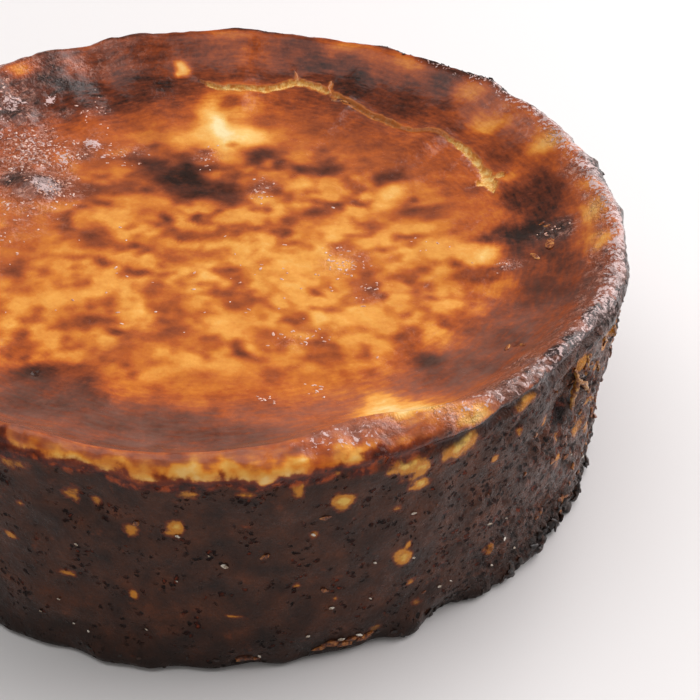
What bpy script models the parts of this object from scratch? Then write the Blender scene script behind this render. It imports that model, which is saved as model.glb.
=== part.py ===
"""A whole Basque cheesecake, uncut, as one baked solid.

It stands on its flat base with the middle of the base at the origin, +Z up. The wall leans out a little
to the rim, the rim rolls over in a soft shoulder, and the middle has sunk below it while cooling. A crack
runs along the back of the sunken skin. Angles round the cake are measured from the front, -Y, towards +X.
Lengths in the tables are in millimetres, and MM turns them into metres.
"""

import math

import bmesh
import bpy
from mathutils import Vector, noise

MM = 0.001
NAME = "basque_cheesecake"
MERGE = 0.00001  # points nearer than this, in metres, are one

# Driving dimensions, in millimetres
EDGE_RADIUS = 90.0  # widest ring, where the wall meets the rim's shoulder
EDGE_HEIGHT = 51.0
BASE_RADIUS = 88.0
FOOT_ROUND = 1.2  # rounding between the wall and the base
CREST_RADIUS = 87.0  # top of the rim
CREST_HEIGHT = 55.0
SINK = 9.0  # from the crest down to the sunken skin
LIP_DROP = 3.4  # the share of SINK that falls away just inside the crest
LIP_WIDTH = 7.5  # how far in that lip reaches
ROLLED_LIP_WIDTH = 2.5  # the same where the rim has rolled over and is steep
SLOPE_WIDTH_FRONT = 9.0  # how far in the slope below the lip reaches
SLOPE_WIDTH_BACK = 14.0
LIP_POWER = 1.5
LIFT_POWER = 3  # the rim's waves fade down the wall with this power of the height
BOWL = 2.0  # how much lower the very middle lies
BOWL_RADIUS = 72.0
# The stretch in front where the rim has rolled over: its middle and half width, in degrees
ROLLED_STRETCH = (-3.0, 36.0)

# How finely the turned solid is divided
TURNS = 128
TOP_RINGS = 17
SHOULDER_RINGS = 3
WALL_RINGS = 15
CROWDING = 1.45  # over 1, the rings of the top lie closer together towards the rim

RIM_FADE = 25.0  # radius inside which the rim's own unevenness no longer shows

# Unevenness of the rim: (waves round the cake, size, phase in degrees)
CREST_WAVES = ((2, 0.35, 40.0), (5, 0.30, 100.0), (9, 0.28, 10.0), (14, 0.22, 70.0))
OUTLINE_WAVES = ((2, 0.40, 15.0), (3, 0.35, 80.0), (7, 0.22, 30.0), (12, 0.15, 5.0))
# Single swellings of the crest: (angle, rise, half width in degrees)
CREST_BUMPS = (
    (176.0, 0.9, 3.5),
    (196.0, 0.7, 5.0),
    (152.0, 0.6, 2.5),
    (128.0, 0.8, 4.0),
    (118.0, 0.7, 5.0),
    (76.0, 0.6, 6.0),
    (62.0, -0.9, 5.0),
    (160.0, -0.7, 7.0),
    (-155.0, -1.9, 5.5),
    (-24.0, 0.9, 4.0),
    (-90.0, 0.8, 6.0),
)
# Where the shoulder is wide, so that the crest lies further in: (angle, shift, half width)
CREST_SHIFTS = ((17.0, -4.8, 9.5), (95.0, -1.5, 15.0), (-120.0, -2.0, 18.0))
# Where the foot spreads on what it stands on: (angle, spread, half width)
FOOT_SPREADS = (
    (-33.0, 1.3, 9.0),
    (-14.0, 2.3, 8.0),
    (10.0, -1.5, 4.0),
    (18.0, -1.0, 2.5),
    (23.0, 0.9, 2.5),
    (29.5, -1.5, 3.0),
    (37.0, 1.3, 3.0),
    (49.0, 1.6, 6.0),
    (130.0, 1.2, 9.0),
    (-95.0, 1.0, 12.0),
)
FOOT_SPREAD_HEIGHT = 9.0

# Relief of the skins: (size of the lumps, height)
TOP_LUMPS = ((26.0, 0.55), (9.0, 0.22))
WALL_LUMPS = ((15.0, 0.65), (6.0, 0.40))
WALL_WAIST = 0.5  # the wall is drawn in a little at half height
FOOT_CRAGS = (6.5, 1.1)
FOOT_CRAG_HEIGHT = 7.0
# Torn hollows in the wall: (angle, height, radius, depth)
WALL_HOLLOWS = ((49.0, 40.0, 4.5, 2.2), (-17.0, 42.5, 4.0, 1.0), (-140.0, 30.0, 5.0, 1.8))

# The crack in the top skin: (x, y, half width)
CRACK_ROUTE = (
    (-5.5, 71.3, 0.4),
    (-1.0, 68.9, 0.7),
    (5.0, 67.7, 0.8),
    (12.0, 67.7, 0.8),
    (19.5, 69.8, 0.9),
    (25.0, 67.8, 0.8),
    (30.0, 63.0, 0.8),
    (36.0, 56.5, 1.0),
    (42.0, 50.5, 0.9),
    (47.0, 45.6, 0.5),
    (53.5, 42.8, 0.5),
    (57.0, 38.5, 0.6),
    (60.3, 33.0, 1.0),
    (62.7, 25.5, 1.1),
    (63.8, 19.5, 2.0),
    (64.2, 15.0, 0.6),
)
CRACK_STEP = 2.4
CRACK_LIFT = 0.25  # the cutting tube's middle, above the skin
CRACK_ARMS = (
    ((19.8, 69.4, 0.9), (20.4, 73.2, 0.5)),
    ((28.8, 64.2, 0.8), (29.0, 68.3, 0.5)),
    ((61.5, 19.3, 0.8), (67.0, 21.3, 0.6)),
)


def waves(angle, table):
    """Sum of sine waves round the cake, in millimetres."""
    return sum(size * math.sin(count * angle + math.radians(phase)) for count, size, phase in table)


def bumps(angle, table):
    """Sum of single soft bumps round the cake, in millimetres."""
    total = 0.0
    for at, size, half_width in table:
        away = math.remainder(angle - math.radians(at), math.tau) / math.radians(half_width)
        total += size * math.exp(-away * away)
    return total


def lumps(point, table):
    """Smooth unevenness at a point in millimetres, from noise at each size of lump."""
    return sum(height * noise.noise(point / size) for size, height in table)


def ease(value):
    """Runs smoothly from 0 to 1 as value does."""
    held = min(1.0, max(0.0, value))
    return held * held * (3.0 - 2.0 * held)


def angle_of(x, y):
    return math.atan2(x, -y)


def crest_radius(angle):
    return CREST_RADIUS + bumps(angle, CREST_SHIFTS)


def crest_height(angle):
    return CREST_HEIGHT + waves(angle, CREST_WAVES) + bumps(angle, CREST_BUMPS)


def fall(inward, width):
    """Runs from 0 at the crest to 1 well inside it."""
    return 1.0 - math.exp(-((max(0.0, inward) / width) ** LIP_POWER))


def sink(inward, angle):
    """How far the skin lies below the crest, at a distance inside it."""
    middle, half_width = ROLLED_STRETCH
    away = math.remainder(angle - math.radians(middle), math.tau) / math.radians(half_width)
    lip = LIP_WIDTH + (ROLLED_LIP_WIDTH - LIP_WIDTH) * math.exp(-(away**4))
    behind = ease(0.5 - 0.5 * math.cos(angle))
    slope = SLOPE_WIDTH_FRONT + (SLOPE_WIDTH_BACK - SLOPE_WIDTH_FRONT) * behind
    return LIP_DROP * fall(inward, lip) + (SINK - LIP_DROP) * fall(inward, slope)


def top_height(x, y):
    """Height of the sunken skin inside the crest."""
    radius, angle = math.hypot(x, y), angle_of(x, y)
    near_rim = ease((radius - RIM_FADE) / (CREST_RADIUS - RIM_FADE))
    crest = CREST_HEIGHT + (crest_height(angle) - CREST_HEIGHT) * near_rim
    bowl = BOWL * max(0.0, 1.0 - (radius / BOWL_RADIUS) ** 2)
    inward = crest_radius(angle) - radius
    return crest - sink(inward, angle) - bowl + lumps(Vector((x, y, 0.0)), TOP_LUMPS)


def wall_offset(angle, height):
    """How far the wall stands out of its plain cone."""
    at = Vector((EDGE_RADIUS * math.sin(angle), -EDGE_RADIUS * math.cos(angle), height))
    offset = waves(angle, OUTLINE_WAVES) + lumps(at, WALL_LUMPS)
    offset -= WALL_WAIST * math.sin(math.pi * min(1.0, height / EDGE_HEIGHT))
    crag_size, crag_height = FOOT_CRAGS
    offset += crag_height * noise.noise(at / crag_size) * ease(1.0 - height / FOOT_CRAG_HEIGHT)
    offset += bumps(angle, FOOT_SPREADS) * ease(1.0 - height / FOOT_SPREAD_HEIGHT)
    for hollow_angle, hollow_height, radius, depth in WALL_HOLLOWS:
        across = math.remainder(angle - math.radians(hollow_angle), math.tau) * EDGE_RADIUS
        away = math.hypot(across, height - hollow_height) / radius
        offset -= depth * math.exp(-away * away)
    return offset


def profile():
    """Half section as (radius, height) from the middle of the top to the middle of the base."""
    points = []
    for step in range(TOP_RINGS + 1):
        share = step / TOP_RINGS
        points.append((CREST_RADIUS * (1.0 - (1.0 - share) ** CROWDING), CREST_HEIGHT))
    for step in range(1, SHOULDER_RINGS + 1):
        turn = 0.5 * math.pi * step / SHOULDER_RINGS
        radius = CREST_RADIUS + (EDGE_RADIUS - CREST_RADIUS) * math.sin(turn)
        points.append((radius, EDGE_HEIGHT + (CREST_HEIGHT - EDGE_HEIGHT) * math.cos(turn)))
    for step in range(1, WALL_RINGS + 1):
        share = step / WALL_RINGS
        height = EDGE_HEIGHT + (FOOT_ROUND - EDGE_HEIGHT) * share
        points.append((EDGE_RADIUS + (BASE_RADIUS - EDGE_RADIUS) * share, height))
    points.append((BASE_RADIUS - FOOT_ROUND, 0.0))
    points.append((0.0, 0.0))
    return points


def turned_solid(collection):
    """The plain turned cake: the half section carried round by a Screw modifier."""
    points = profile()
    mesh = bpy.data.meshes.new("half_section")
    edges = [(i, i + 1) for i in range(len(points) - 1)]
    mesh.from_pydata([(radius * MM, 0.0, height * MM) for radius, height in points], edges, [])
    outline = bpy.data.objects.new("half_section", mesh)
    collection.objects.link(outline)
    screw = outline.modifiers.new("turn", "SCREW")
    screw.axis = "Z"
    screw.angle = math.tau
    screw.steps = TURNS
    screw.render_steps = TURNS
    screw.use_merge_vertices = True
    screw.merge_threshold = MERGE
    graph = bpy.context.evaluated_depsgraph_get()
    turned = bpy.data.meshes.new_from_object(outline.evaluated_get(graph))
    bpy.data.objects.remove(outline)
    turned.name = NAME
    cake = bpy.data.objects.new(NAME, turned)
    collection.objects.link(cake)
    return cake


def shape(cake):
    """Moves the turned rings to the uneven form of the baked cake. The base stays flat."""
    slack = 0.01
    for vertex in cake.data.vertices:
        x, y, height = (value / MM for value in vertex.co)
        radius, angle = math.hypot(x, y), angle_of(x, y)
        lift = crest_height(angle) - CREST_HEIGHT
        if height < slack:
            radius += wall_offset(angle, 0.0) * ease(radius / BASE_RADIUS)
        elif height < EDGE_HEIGHT + slack:
            radius += wall_offset(angle, height)
            height += lift * (height / EDGE_HEIGHT) ** LIFT_POWER
        elif radius > CREST_RADIUS + slack:
            inner = crest_radius(angle)
            share = (radius - CREST_RADIUS) / (EDGE_RADIUS - CREST_RADIUS)
            radius = inner + (EDGE_RADIUS + wall_offset(angle, EDGE_HEIGHT) - inner) * share
            edge = EDGE_HEIGHT + lift
            crest = top_height(inner * math.sin(angle), -inner * math.cos(angle))
            height = edge + (crest - edge) * (height - EDGE_HEIGHT) / (CREST_HEIGHT - EDGE_HEIGHT)
        else:
            radius *= crest_radius(angle) / CREST_RADIUS
            height = top_height(radius * math.sin(angle), -radius * math.cos(angle))
        vertex.co = Vector((radius * math.sin(angle), -radius * math.cos(angle), height)) * MM


def route_points(stops):
    """Points about CRACK_STEP apart on a smooth curve through the stops, as (x, y, half width)."""
    first, last = Vector(stops[0]), Vector(stops[-1])
    ends = [2 * first - Vector(stops[1]), *map(Vector, stops), 2 * last - Vector(stops[-2])]
    points = []
    for before, start, stop, after in zip(ends, ends[1:], ends[2:], ends[3:]):
        count = max(1, round((stop - start).length / CRACK_STEP))
        for step in range(count):
            t = step / count
            points.append(
                0.5
                * (
                    2 * start
                    + (stop - before) * t
                    + (2 * before - 5 * start + 4 * stop - after) * t**2
                    + (3 * start - before - 3 * stop + after) * t**3
                )
            )
    return [*points, last]


def crack_cutter(name, stops, collection):
    """A closed tube along the skin, as wide as the crack, made from a bevelled curve."""
    points = route_points(stops)
    data = bpy.data.curves.new(name, "CURVE")
    data.dimensions = "3D"
    data.bevel_depth = MM
    data.bevel_resolution = 2
    data.use_fill_caps = True
    spline = data.splines.new("POLY")
    spline.points.add(len(points) - 1)
    for target, (x, y, half_width) in zip(spline.points, points):
        target.co = (x * MM, y * MM, (top_height(x, y) + CRACK_LIFT) * MM, 1.0)
        target.radius = half_width
    curve = bpy.data.objects.new(name, data)
    collection.objects.link(curve)
    graph = bpy.context.evaluated_depsgraph_get()
    mesh = bpy.data.meshes.new_from_object(curve.evaluated_get(graph))
    solid = bmesh.new()
    solid.from_mesh(mesh)
    bmesh.ops.remove_doubles(solid, verts=solid.verts, dist=MERGE)
    bmesh.ops.recalc_face_normals(solid, faces=solid.faces)
    solid.to_mesh(mesh)
    solid.free()
    cutter = bpy.data.objects.new(name, mesh)
    cutter.matrix_world = curve.matrix_world
    bpy.data.objects.remove(curve)
    cutter.name = name
    cutter.hide_render = True
    cutter.display_type = "WIRE"
    collection.objects.link(cutter)
    return cutter


def cut_cracks(cake, cutters):
    """Cuts the crack and its short arms into the top skin."""
    tubes = [crack_cutter("crack", CRACK_ROUTE, cutters)]
    for number, arm in enumerate(CRACK_ARMS):
        tubes.append(crack_cutter(f"crack_arm_{number}", arm, cutters))
    for tube in tubes:
        cut = cake.modifiers.new(tube.name, "BOOLEAN")
        cut.operation = "DIFFERENCE"
        cut.solver = "EXACT"
        cut.object = tube


def baked_skin():
    """Caramel brown, half glossy."""
    material = bpy.data.materials.new("baked_custard")
    material.use_nodes = True
    shader = material.node_tree.nodes["Principled BSDF"]
    shader.inputs["Base Color"].default_value = (0.30, 0.11, 0.035, 1.0)
    shader.inputs["Roughness"].default_value = 0.45
    shader.inputs["Metallic"].default_value = 0.0
    return material


def new_collection(name):
    collection = bpy.data.collections.new(name)
    bpy.context.scene.collection.children.link(collection)
    return collection


def main():
    for old in list(bpy.data.objects):
        bpy.data.objects.remove(old)
    parts = new_collection("cheesecake")
    cutters = new_collection("cutters")
    cake = turned_solid(parts)
    shape(cake)
    cake.data.materials.append(baked_skin())
    cake.data.shade_smooth()
    cut_cracks(cake, cutters)


main()
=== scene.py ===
import math
import random

import bmesh
import bpy
import numpy as np
from mathutils import Matrix, Vector, noise
from mathutils.bvhtree import BVHTree


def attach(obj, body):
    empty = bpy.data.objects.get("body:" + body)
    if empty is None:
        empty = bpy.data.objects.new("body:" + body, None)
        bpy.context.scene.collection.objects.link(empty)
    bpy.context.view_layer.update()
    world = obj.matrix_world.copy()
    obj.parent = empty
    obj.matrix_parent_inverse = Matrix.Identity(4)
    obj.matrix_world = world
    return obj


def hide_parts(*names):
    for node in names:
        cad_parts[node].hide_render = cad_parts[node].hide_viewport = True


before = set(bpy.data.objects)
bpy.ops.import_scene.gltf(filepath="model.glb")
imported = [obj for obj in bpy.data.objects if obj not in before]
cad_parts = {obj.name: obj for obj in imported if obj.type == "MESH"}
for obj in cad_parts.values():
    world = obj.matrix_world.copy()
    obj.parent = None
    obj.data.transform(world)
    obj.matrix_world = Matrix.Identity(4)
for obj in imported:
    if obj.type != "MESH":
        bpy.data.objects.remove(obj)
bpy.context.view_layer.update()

# The looks of a whole Basque cheesecake: its burnt caramel skin, pitted wall, crack, crumbs and torn bits.
#
# Lengths are in millimetres unless a name says otherwise, and MM turns them into metres. Angles round the
# cake are in degrees from the front, -Y, towards +X. How brown the skin is runs from cream, 0, through gold
# and amber to black, 1.

MM = 0.001
NODE = "basque_cheesecake"
BODY = "root"

# The baked form, with the same values as its solid
EDGE_RADIUS = 90.0
EDGE_HEIGHT = 51.0
BASE_RADIUS = 88.0
FOOT_ROUND = 1.2
CREST_RADIUS = 87.0
CREST_HEIGHT = 55.0
SINK = 9.0
LIP_DROP = 3.4
LIP_WIDTH = 7.5
ROLLED_LIP_WIDTH = 2.5
SLOPE_WIDTH_FRONT = 9.0
SLOPE_WIDTH_BACK = 14.0
LIP_POWER = 1.5
LIFT_POWER = 3
BOWL = 2.0
BOWL_RADIUS = 72.0
ROLLED_STRETCH = (-3.0, 36.0)
RIM_FADE = 25.0
# Waves round the cake: (how many, size, phase)
CREST_WAVES = ((2, 0.35, 40), (5, 0.3, 100), (9, 0.28, 10), (14, 0.22, 70))
OUTLINE_WAVES = ((2, 0.4, 15), (3, 0.35, 80), (7, 0.22, 30), (12, 0.15, 5))
# Single bumps round the cake: (angle, size, half width in degrees)
CREST_BUMPS = (
    (176, 0.9, 3.5), (196, 0.7, 5), (152, 0.6, 2.5), (128, 0.8, 4), (118, 0.7, 5), (76, 0.6, 6),
    (62, -0.9, 5), (160, -0.7, 7), (-155, -1.9, 5.5), (-24, 0.9, 4), (-90, 0.8, 6),
)
CREST_SHIFTS = ((17, -4.8, 9.5), (95, -1.5, 15), (-120, -2, 18))
FOOT_SPREADS = (
    (-33, 1.3, 9), (-14, 2.3, 8), (10, -1.5, 4), (18, -1, 2.5), (23, 0.9, 2.5), (29.5, -1.5, 3), (37, 1.3, 3),
    (49, 1.6, 6), (130, 1.2, 9), (-95, 1, 12),
)
FOOT_SPREAD_HEIGHT = 9.0
# Unevenness: (size of the lumps, height)
TOP_LUMPS = ((26, 0.55), (9, 0.22))
WALL_LUMPS = ((15, 0.65), (6, 0.4))
WALL_WAIST = 0.5
FOOT_CRAGS = (6.5, 1.1)
FOOT_CRAG_HEIGHT = 7.0
# Dents in the wall, the solid's and then the sharper ones torn into them: (angle, height, radius, depth)
WALL_HOLLOWS = ((49, 40, 4.5, 2.2), (-17, 42.5, 4, 1), (-140, 30, 5, 1.8))
TORN_HOLES = (
    (48.8, 37.4, 3.2, 1.7), (54.6, 39.6, 2.4, 1.2), (58.6, 35, 2.6, 1), (63, 30, 3, 1.1), (70, 17, 2.6, 0.9),
    (-139.6, 29, 3, 1.3),
)
# The crack along the back of the sunken skin: (x, y, half width)
CRACK_ROUTE = (
    (-5.5, 71.3, 0.25), (-1, 68.9, 0.5), (5, 67.7, 0.75), (12, 67.7, 0.8), (19.5, 69.8, 0.9), (25, 67.8, 0.8),
    (30, 63, 0.8), (36, 56.5, 1), (42, 50.5, 0.9), (47, 45.6, 0.5), (53.5, 42.8, 0.45), (57, 38.5, 0.5),
    (60.3, 33, 0.75), (62.7, 25.5, 0.85), (63.8, 19.5, 1.7), (64.2, 15, 0.6),
)
CRACK_ARMS = (
    ((19.8, 69.6, 0.8), (20.4, 71.6, 0.6), (20, 73.2, 0.35)),
    ((28.8, 64.2, 0.8), (28.5, 66.4, 0.6), (29.2, 68.3, 0.35)), ((61.5, 19.3, 0.8), (67, 21.3, 0.6)),
)
CRACK_ARM_ENDS = ((20.2, 72.6), (28.9, 67.4))
CRACK_NEAR = 6.0
CRACK_CLOSED = 0.34  # how much narrower the fine crack is than the one in the solid
# Blisters and burst bubbles of the top skin: (x, y, radius, height, depth of the burst middle)
BUBBLES = (
    (-45, 22, 7.4, 2.7, 0), (-46, 31, 4, 0.9, 0), (-32, 42, 2.8, 0.9, 0), (-44, 61, 2.6, 0.9, 1.2),
    (-50, 52, 4, 1, 0), (-38, -50, 1.9, 0.5, 1), (-35, -61, 1.3, 0.35, 0.7), (-28, -32, 1.8, 0.4, 0.7),
    (57.5, -49.5, 1.5, 0.3, 1.1), (-43, -41, 1.2, 0.3, 0), (-21, -42, 1, 0.25, 0), (-13, -78, 1.3, 0.5, 0),
    (-10.5, -78.5, 0.9, 0.4, 0), (0, -81.5, 1.2, 0.5, 0), (2.5, -81, 0.9, 0.4, 0), (10, 19.5, 1, 0.3, 0.6),
    (61, -18, 0.9, 0.35, 0), (-68, 10, 2.2, 0.5, 0.9), (-62, -30, 3.6, 0.7, 0), (-70, 34, 1.6, 0.4, 0.7),
)

# How finely the skin is divided
COLUMNS = 768
COLUMN_CROWDING = 0.30  # how much closer the columns lie in front than behind
CROWDED_AT = 15.0
TOP_RING_STEP = 0.92
WALL_RING_STEP = 0.84
SHOULDER_RINGS = 9
HALVED_AT = (60.0, 30.0, 16.0)  # radii at which every second column ends
GRID_RADIUS = 12.0  # inside it a plain grid closes the middle
FOUND = 0.01  # slack when a ring is found again by its place
STREAK_LENGTH = 5.0  # of the fine streaks that run round the skin near the rim
STREAK_WIDTH = 1.1

# Stretches round the cake: (angle, half width in degrees, power, amount). A higher power has sharper ends.
CRUST_HEIGHT = 51.2  # of the dark crust, lower in front and up to the crest on the right of it
CRUST_STRETCHES = ((-2, 12, 4, -1.0), (-32, 18, 4, 0.7), (52, 17, 6, 2.9))
# Where a pale pink painted highlight runs along the crest
PAINTED_GLINT_STRETCHES = ((90, 34, 6, 0.95), (42, 20, 4, 0.65), (134, 12, 4, 0.6), (13, 6, 4, 0.5))

# Spots on the top: (x, y, half width, half depth, turn in degrees, how brown)
CLOUDS = (
    (22, 55, 24, 9, -24, 0.66), (36, 42, 18, 9, -40, 0.64), (-20, 54, 18, 9, 8, 0.62),
    (-36, 58, 16, 9, 10, 0.66), (50, 30, 11, 13, 20, 0.64), (14, 44, 14, 7, -10, 0.58),
    (-40, 45, 14, 14, 0, 0.52), (60, -45, 22, 14, 40, 0.66), (38, -62, 20, 8, 10, 0.56),
    (6, -58, 32, 7, 0, 0.47), (-36, -62, 15, 10, 0, 0.72), (-10, -73, 24, 8, 0, 0.68),
    (6, -69, 14, 6, 8, 0.58), (17, -72, 16, 7, 6, 0.56), (-37, -58, 8, 8, -40, 0.8),
    (-24, -65.5, 12, 4.6, -18, 0.84), (-8, -70.5, 11, 4.6, -14, 0.85), (4, -76, 9, 4.4, -10, 0.82),
    (0, -82, 6, 4, 0, 0.84), (-20, -77, 10, 3.6, -14, 0.82), (-42, -69, 9, 4, -34, 0.74),
    (44, -57, 10, 5.5, 15, 0.74), (71, -20, 10, 20, -4, 0.77), (73, 8, 6, 12, 8, 0.8),
    (-45, 60, 18, 9, 20, 0.78), (-18, 71, 16, 8, 0, 0.71), (12, 77, 24, 7, 0, 0.76),
    (36, 66, 19, 10, -45, 0.78), (58, 52, 9, 7, -50, 0.72), (-47, 8, 9, 30, 0, 0.52),
    (-46, 42, 9, 12, 0, 0.6), (60, 38, 8, 8, -50, 0.6), (57, 8, 9, 14, 0, 0.54), (83, -10, 6, 26, 4, 0.48),
    (79, 22, 8, 13, -15, 0.5), (74, 38, 8, 9, -45, 0.5), (36, 77, 14, 7, -22, 0.5), (60, 50, 8, 5, -45, 0.58),
    (10, 82, 12, 4.6, 0, 0.48), (57, 56, 5, 6, -40, 0.8),
)
SPOTS = (
    (-12, 29.5, 9.6, 8.2, -20, 0.93), (-7, 25, 6.5, 6, -40, 0.91), (-3, 21, 5, 4, -40, 0.86),
    (-1.5, 18, 4.6, 3.6, -30, 0.84), (8.5, 36, 5.6, 4.2, 35, 0.87), (23, 29.5, 7.6, 3.4, 8, 0.84),
    (39.5, 25, 4.6, 3, 45, 0.84), (44, 9, 7, 2.2, 12, 0.72), (48, 6.5, 3, 2.2, 0, 0.68),
    (21.5, 9.5, 4.2, 2.6, 15, 0.76), (14, 6.5, 2.6, 2, 0, 0.7), (12, 2.5, 2.4, 2, 0, 0.66),
    (35, 3, 3, 2, 30, 0.62), (-8, 1, 6.2, 1.9, 0, 0.66), (2, 4, 3.4, 1.5, 0, 0.6), (9, 22, 5.5, 3, 10, 0.7),
    (-31, 21.5, 5, 4, 0, 0.76), (-23, 24, 3.6, 3.4, 0, 0.68), (-30, 33, 4, 2.4, 0, 0.62),
    (-18, 38, 5, 3, 20, 0.62), (-30.5, 2, 3.4, 4.2, -25, 0.76), (-28, -2, 3, 2.4, 0, 0.68),
    (-17, 12, 4.2, 3, 0, 0.54), (-46, -12, 2.6, 3.4, 0, 0.74), (0.5, -13.5, 2.8, 1.6, 0, 0.72),
    (0.5, -23, 2.6, 1.8, 20, 0.72), (2.5, -26.5, 3.4, 2.2, -25, 0.7), (-12, -7, 2.6, 3, 0, 0.58),
    (-4, -7, 4, 2, 0, 0.54), (-15, -21, 3.2, 3.6, 0, 0.62), (-11, -29, 2.8, 6, 0, 0.64),
    (-13, -38, 5, 3.6, 0, 0.66), (-21, -43, 4.6, 2.2, 0, 0.62), (-28, -32, 5, 3.2, 0, 0.78),
    (-5, -40.5, 3.4, 2, 0, 0.52), (8.5, -39, 3.2, 2.6, 0, 0.58), (28.5, -20, 2.2, 2.8, 0, 0.62),
    (29, -26, 2, 2.6, 0, 0.56), (32, -12, 3, 3.4, 0, 0.52), (38, -18, 4, 1.6, 10, 0.62),
    (27, -6, 2.6, 2, 0, 0.56), (54, -19, 4.6, 2.2, 10, 0.64), (19, -47, 4.6, 1.8, 0, 0.66),
    (8.5, -53, 2.2, 3.4, 0, 0.62), (-6, -53, 3, 2.4, 0, 0.54), (5.5, -63.5, 3, 3.6, 0, 0.64),
    (41, -50, 4, 3, 10, 0.94), (49, -56, 11, 4.2, 15, 0.78), (58, -46, 4.6, 3.4, 0, 0.8),
    (71, -14, 8, 4.6, 10, 0.76), (74, 4, 5, 6, 10, 0.84), (68.5, -4.5, 8, 4.8, 10, 0.96),
    (69, -30, 5, 4.4, 0, 0.8), (72, 10, 5, 7, 8, 0.82), (-38, -50, 4.6, 3.2, 0, 0.92),
    (-35, -61, 5.5, 3.6, 0, 0.84), (-18, 69, 8, 4.8, 0, 0.9), (-39, 65, 8, 4.4, 0, 0.92),
    (-45, 57, 8, 4, 10, 0.8), (-28, 62, 9, 4, 0, 0.82), (34, 66, 7, 4.6, -45, 0.86),
    (26, 75, 5, 3.4, -20, 0.84), (46, 57, 7, 4.6, -45, 0.8), (57, 42, 3.6, 3, 0, 0.76),
    (22, 82, 9, 2.6, 0, 0.76), (70, 30, 5, 3.6, 0, 0.7), (61, 17.5, 4.6, 2.4, 10, 0.7),
    (67, 33, 4, 3, 0, 0.7), (-32, 41, 3.4, 2.4, 0, 0.66), (-48.5, 24, 4.6, 4.4, 0, 0.9),
    (-42, 21.5, 4.6, 4, 0, 0.8), (-54, 53, 4, 2.4, 10, 0.84), (-43, -41, 2.6, 2, 0, 0.62),
    (3, 62.5, 3.2, 2.3, 0, 0.66), (-8, 82, 16, 2.6, 0, 0.7), (57, 66.4, 5, 1.5, -40, 0.97),
    (65, 58.6, 5, 1.4, -43, 0.97), (72, 50.4, 4, 1.3, -48, 0.95), (78, 41, 4, 1.3, -55, 0.95),
    (8, 87.4, 5, 1.3, 0, 1), (16, 86.4, 5, 1, -6, 0.95), (-24, 84, 4, 0.9, 14, 0.86),
)
PALE_SPOTS = (
    (-29, -80.8, 9, 2.6, -20, 0.62), (-14, -84.8, 8, 2.4, -9, 0.6), (0, -86.4, 8, 2, 0, 0.62),
    (-10.6, 77, 1.4, 1.9, 20, 0.04), (-9.6, 74.8, 1.5, 1.5, 0, 0), (-11.4, 74, 0.9, 1, 0, 0),
    (57, -12, 3.4, 4, 10, 0.06), (54, -9.5, 3.8, 3, 0, 0.22), (30, -69, 3.6, 8, 6, 0.14),
    (33, -72, 8.4, 7, 8, 0), (18, 22.5, 4, 2.2, 0, 0.22), (39.5, 17.5, 3.2, 4, -30, 0.18),
    (37, 12.5, 2.4, 2.6, 0, 0.26), (42, 4, 5, 3, 0, 0.26), (25, 3, 4.6, 2.6, 10, 0.26),
    (66, 41, 4.4, 2.6, -20, 0.24), (78, 27.5, 5, 3.6, -20, 0.14), (68.5, 20, 3, 2, 10, 0.34),
    (83.5, 4.5, 2.4, 3.2, 0, 0.26), (81, 0, 2.4, 4, 0, 0.42), (82, -7, 3.2, 4.6, 0, 0.06),
    (80, -19, 2.8, 3.8, 0, 0.1), (-51, 67, 4, 2.2, 20, 0.22), (50, 69, 5, 2.2, -34, 0.34),
    (32, 79, 5, 1.8, -20, 0.3), (39, 68, 2.2, 1.8, 0, 0.42), (64, 53, 4, 2.8, -40, 0.34),
    (3, 85, 5, 1.6, 0, 0.36), (-20, 17, 4.6, 3, 0, 0.3), (-5, -50, 9, 3.4, 0, 0.28), (0, -33, 6, 4, 0, 0.26),
    (16, -12, 10, 4.6, 12, 0.25), (28, -34, 7, 3.4, 0, 0.28), (48, -8, 6, 4, 10, 0.27),
    (-35, -22, 7, 3.6, 0, 0.28), (-24, 10, 5.6, 3, 0, 0.29),
)
CREAM_PATCH = (
    (2.5, 61, 7.4, 7, 0, 0.3), (-3.5, 57.5, 2.8, 8, 0, 0.22), (1, 46, 12.5, 5.8, 0, 0.17),
    (2.5, 38.5, 5.6, 5.6, 0, 0.16), (4.5, 44.5, 6, 4.2, 0, 0.11), (-0.5, 50, 2.2, 8.6, 7, 0),
    (2.2, 41.5, 1.5, 1.2, 0, 0.36),
)
# Where the skin is full of tiny bubbles, and where a pale pink painted highlight lies on it: the same, with
# amounts
BUBBLY_SPOTS = (
    (-50, 32, 12, 24, 6, 0.85), (-41, 24, 5, 8, 0, 1), (-34, 38, 4, 4, 0, 0.8), (-54, 60, 6, 7, 0, 0.45),
    (-33, 58, 3, 3, 0, 0.4), (-24, 40, 5, 3, 20, 0.5), (26, -11, 6, 5, 0, 0.3), (9.5, 20, 3.5, 4.5, 0, 0.4),
    (30, -25, 4, 4, 0, 0.2), (15.5, -40, 5, 3, 20, 0.3), (-4, 36, 4, 3, 0, 0.4), (62, -17, 3, 2, 0, 0.7),
    (76, -9, 5, 3, 0, 0.6), (-62, -18, 10, 20, 0, 0.8), (-70, 20, 8, 16, 0, 0.8), (73, -7, 4, 3, 10, 0.6),
)
PAINTED_GLINT_SPOTS = (
    (-42, 21.5, 3, 3.4, 0, 1.5), (-38, 35.5, 2.6, 4, 0, 0.9), (-32, 42.5, 1.8, 2.8, 30, 1.3),
    (-43.6, 59.5, 1.3, 2, 0, 1.4), (-53, 56, 3, 2.6, 0, 1), (-29, 37, 1.2, 1.6, 0, 0.9),
    (-46, 39, 6, 8, 0, 0.6), (-52, 30, 4, 6, 0, 0.5), (-56, 44, 4, 8, 0, 0.7), (-66, 8, 3, 4, 0, 0.8),
)

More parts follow.
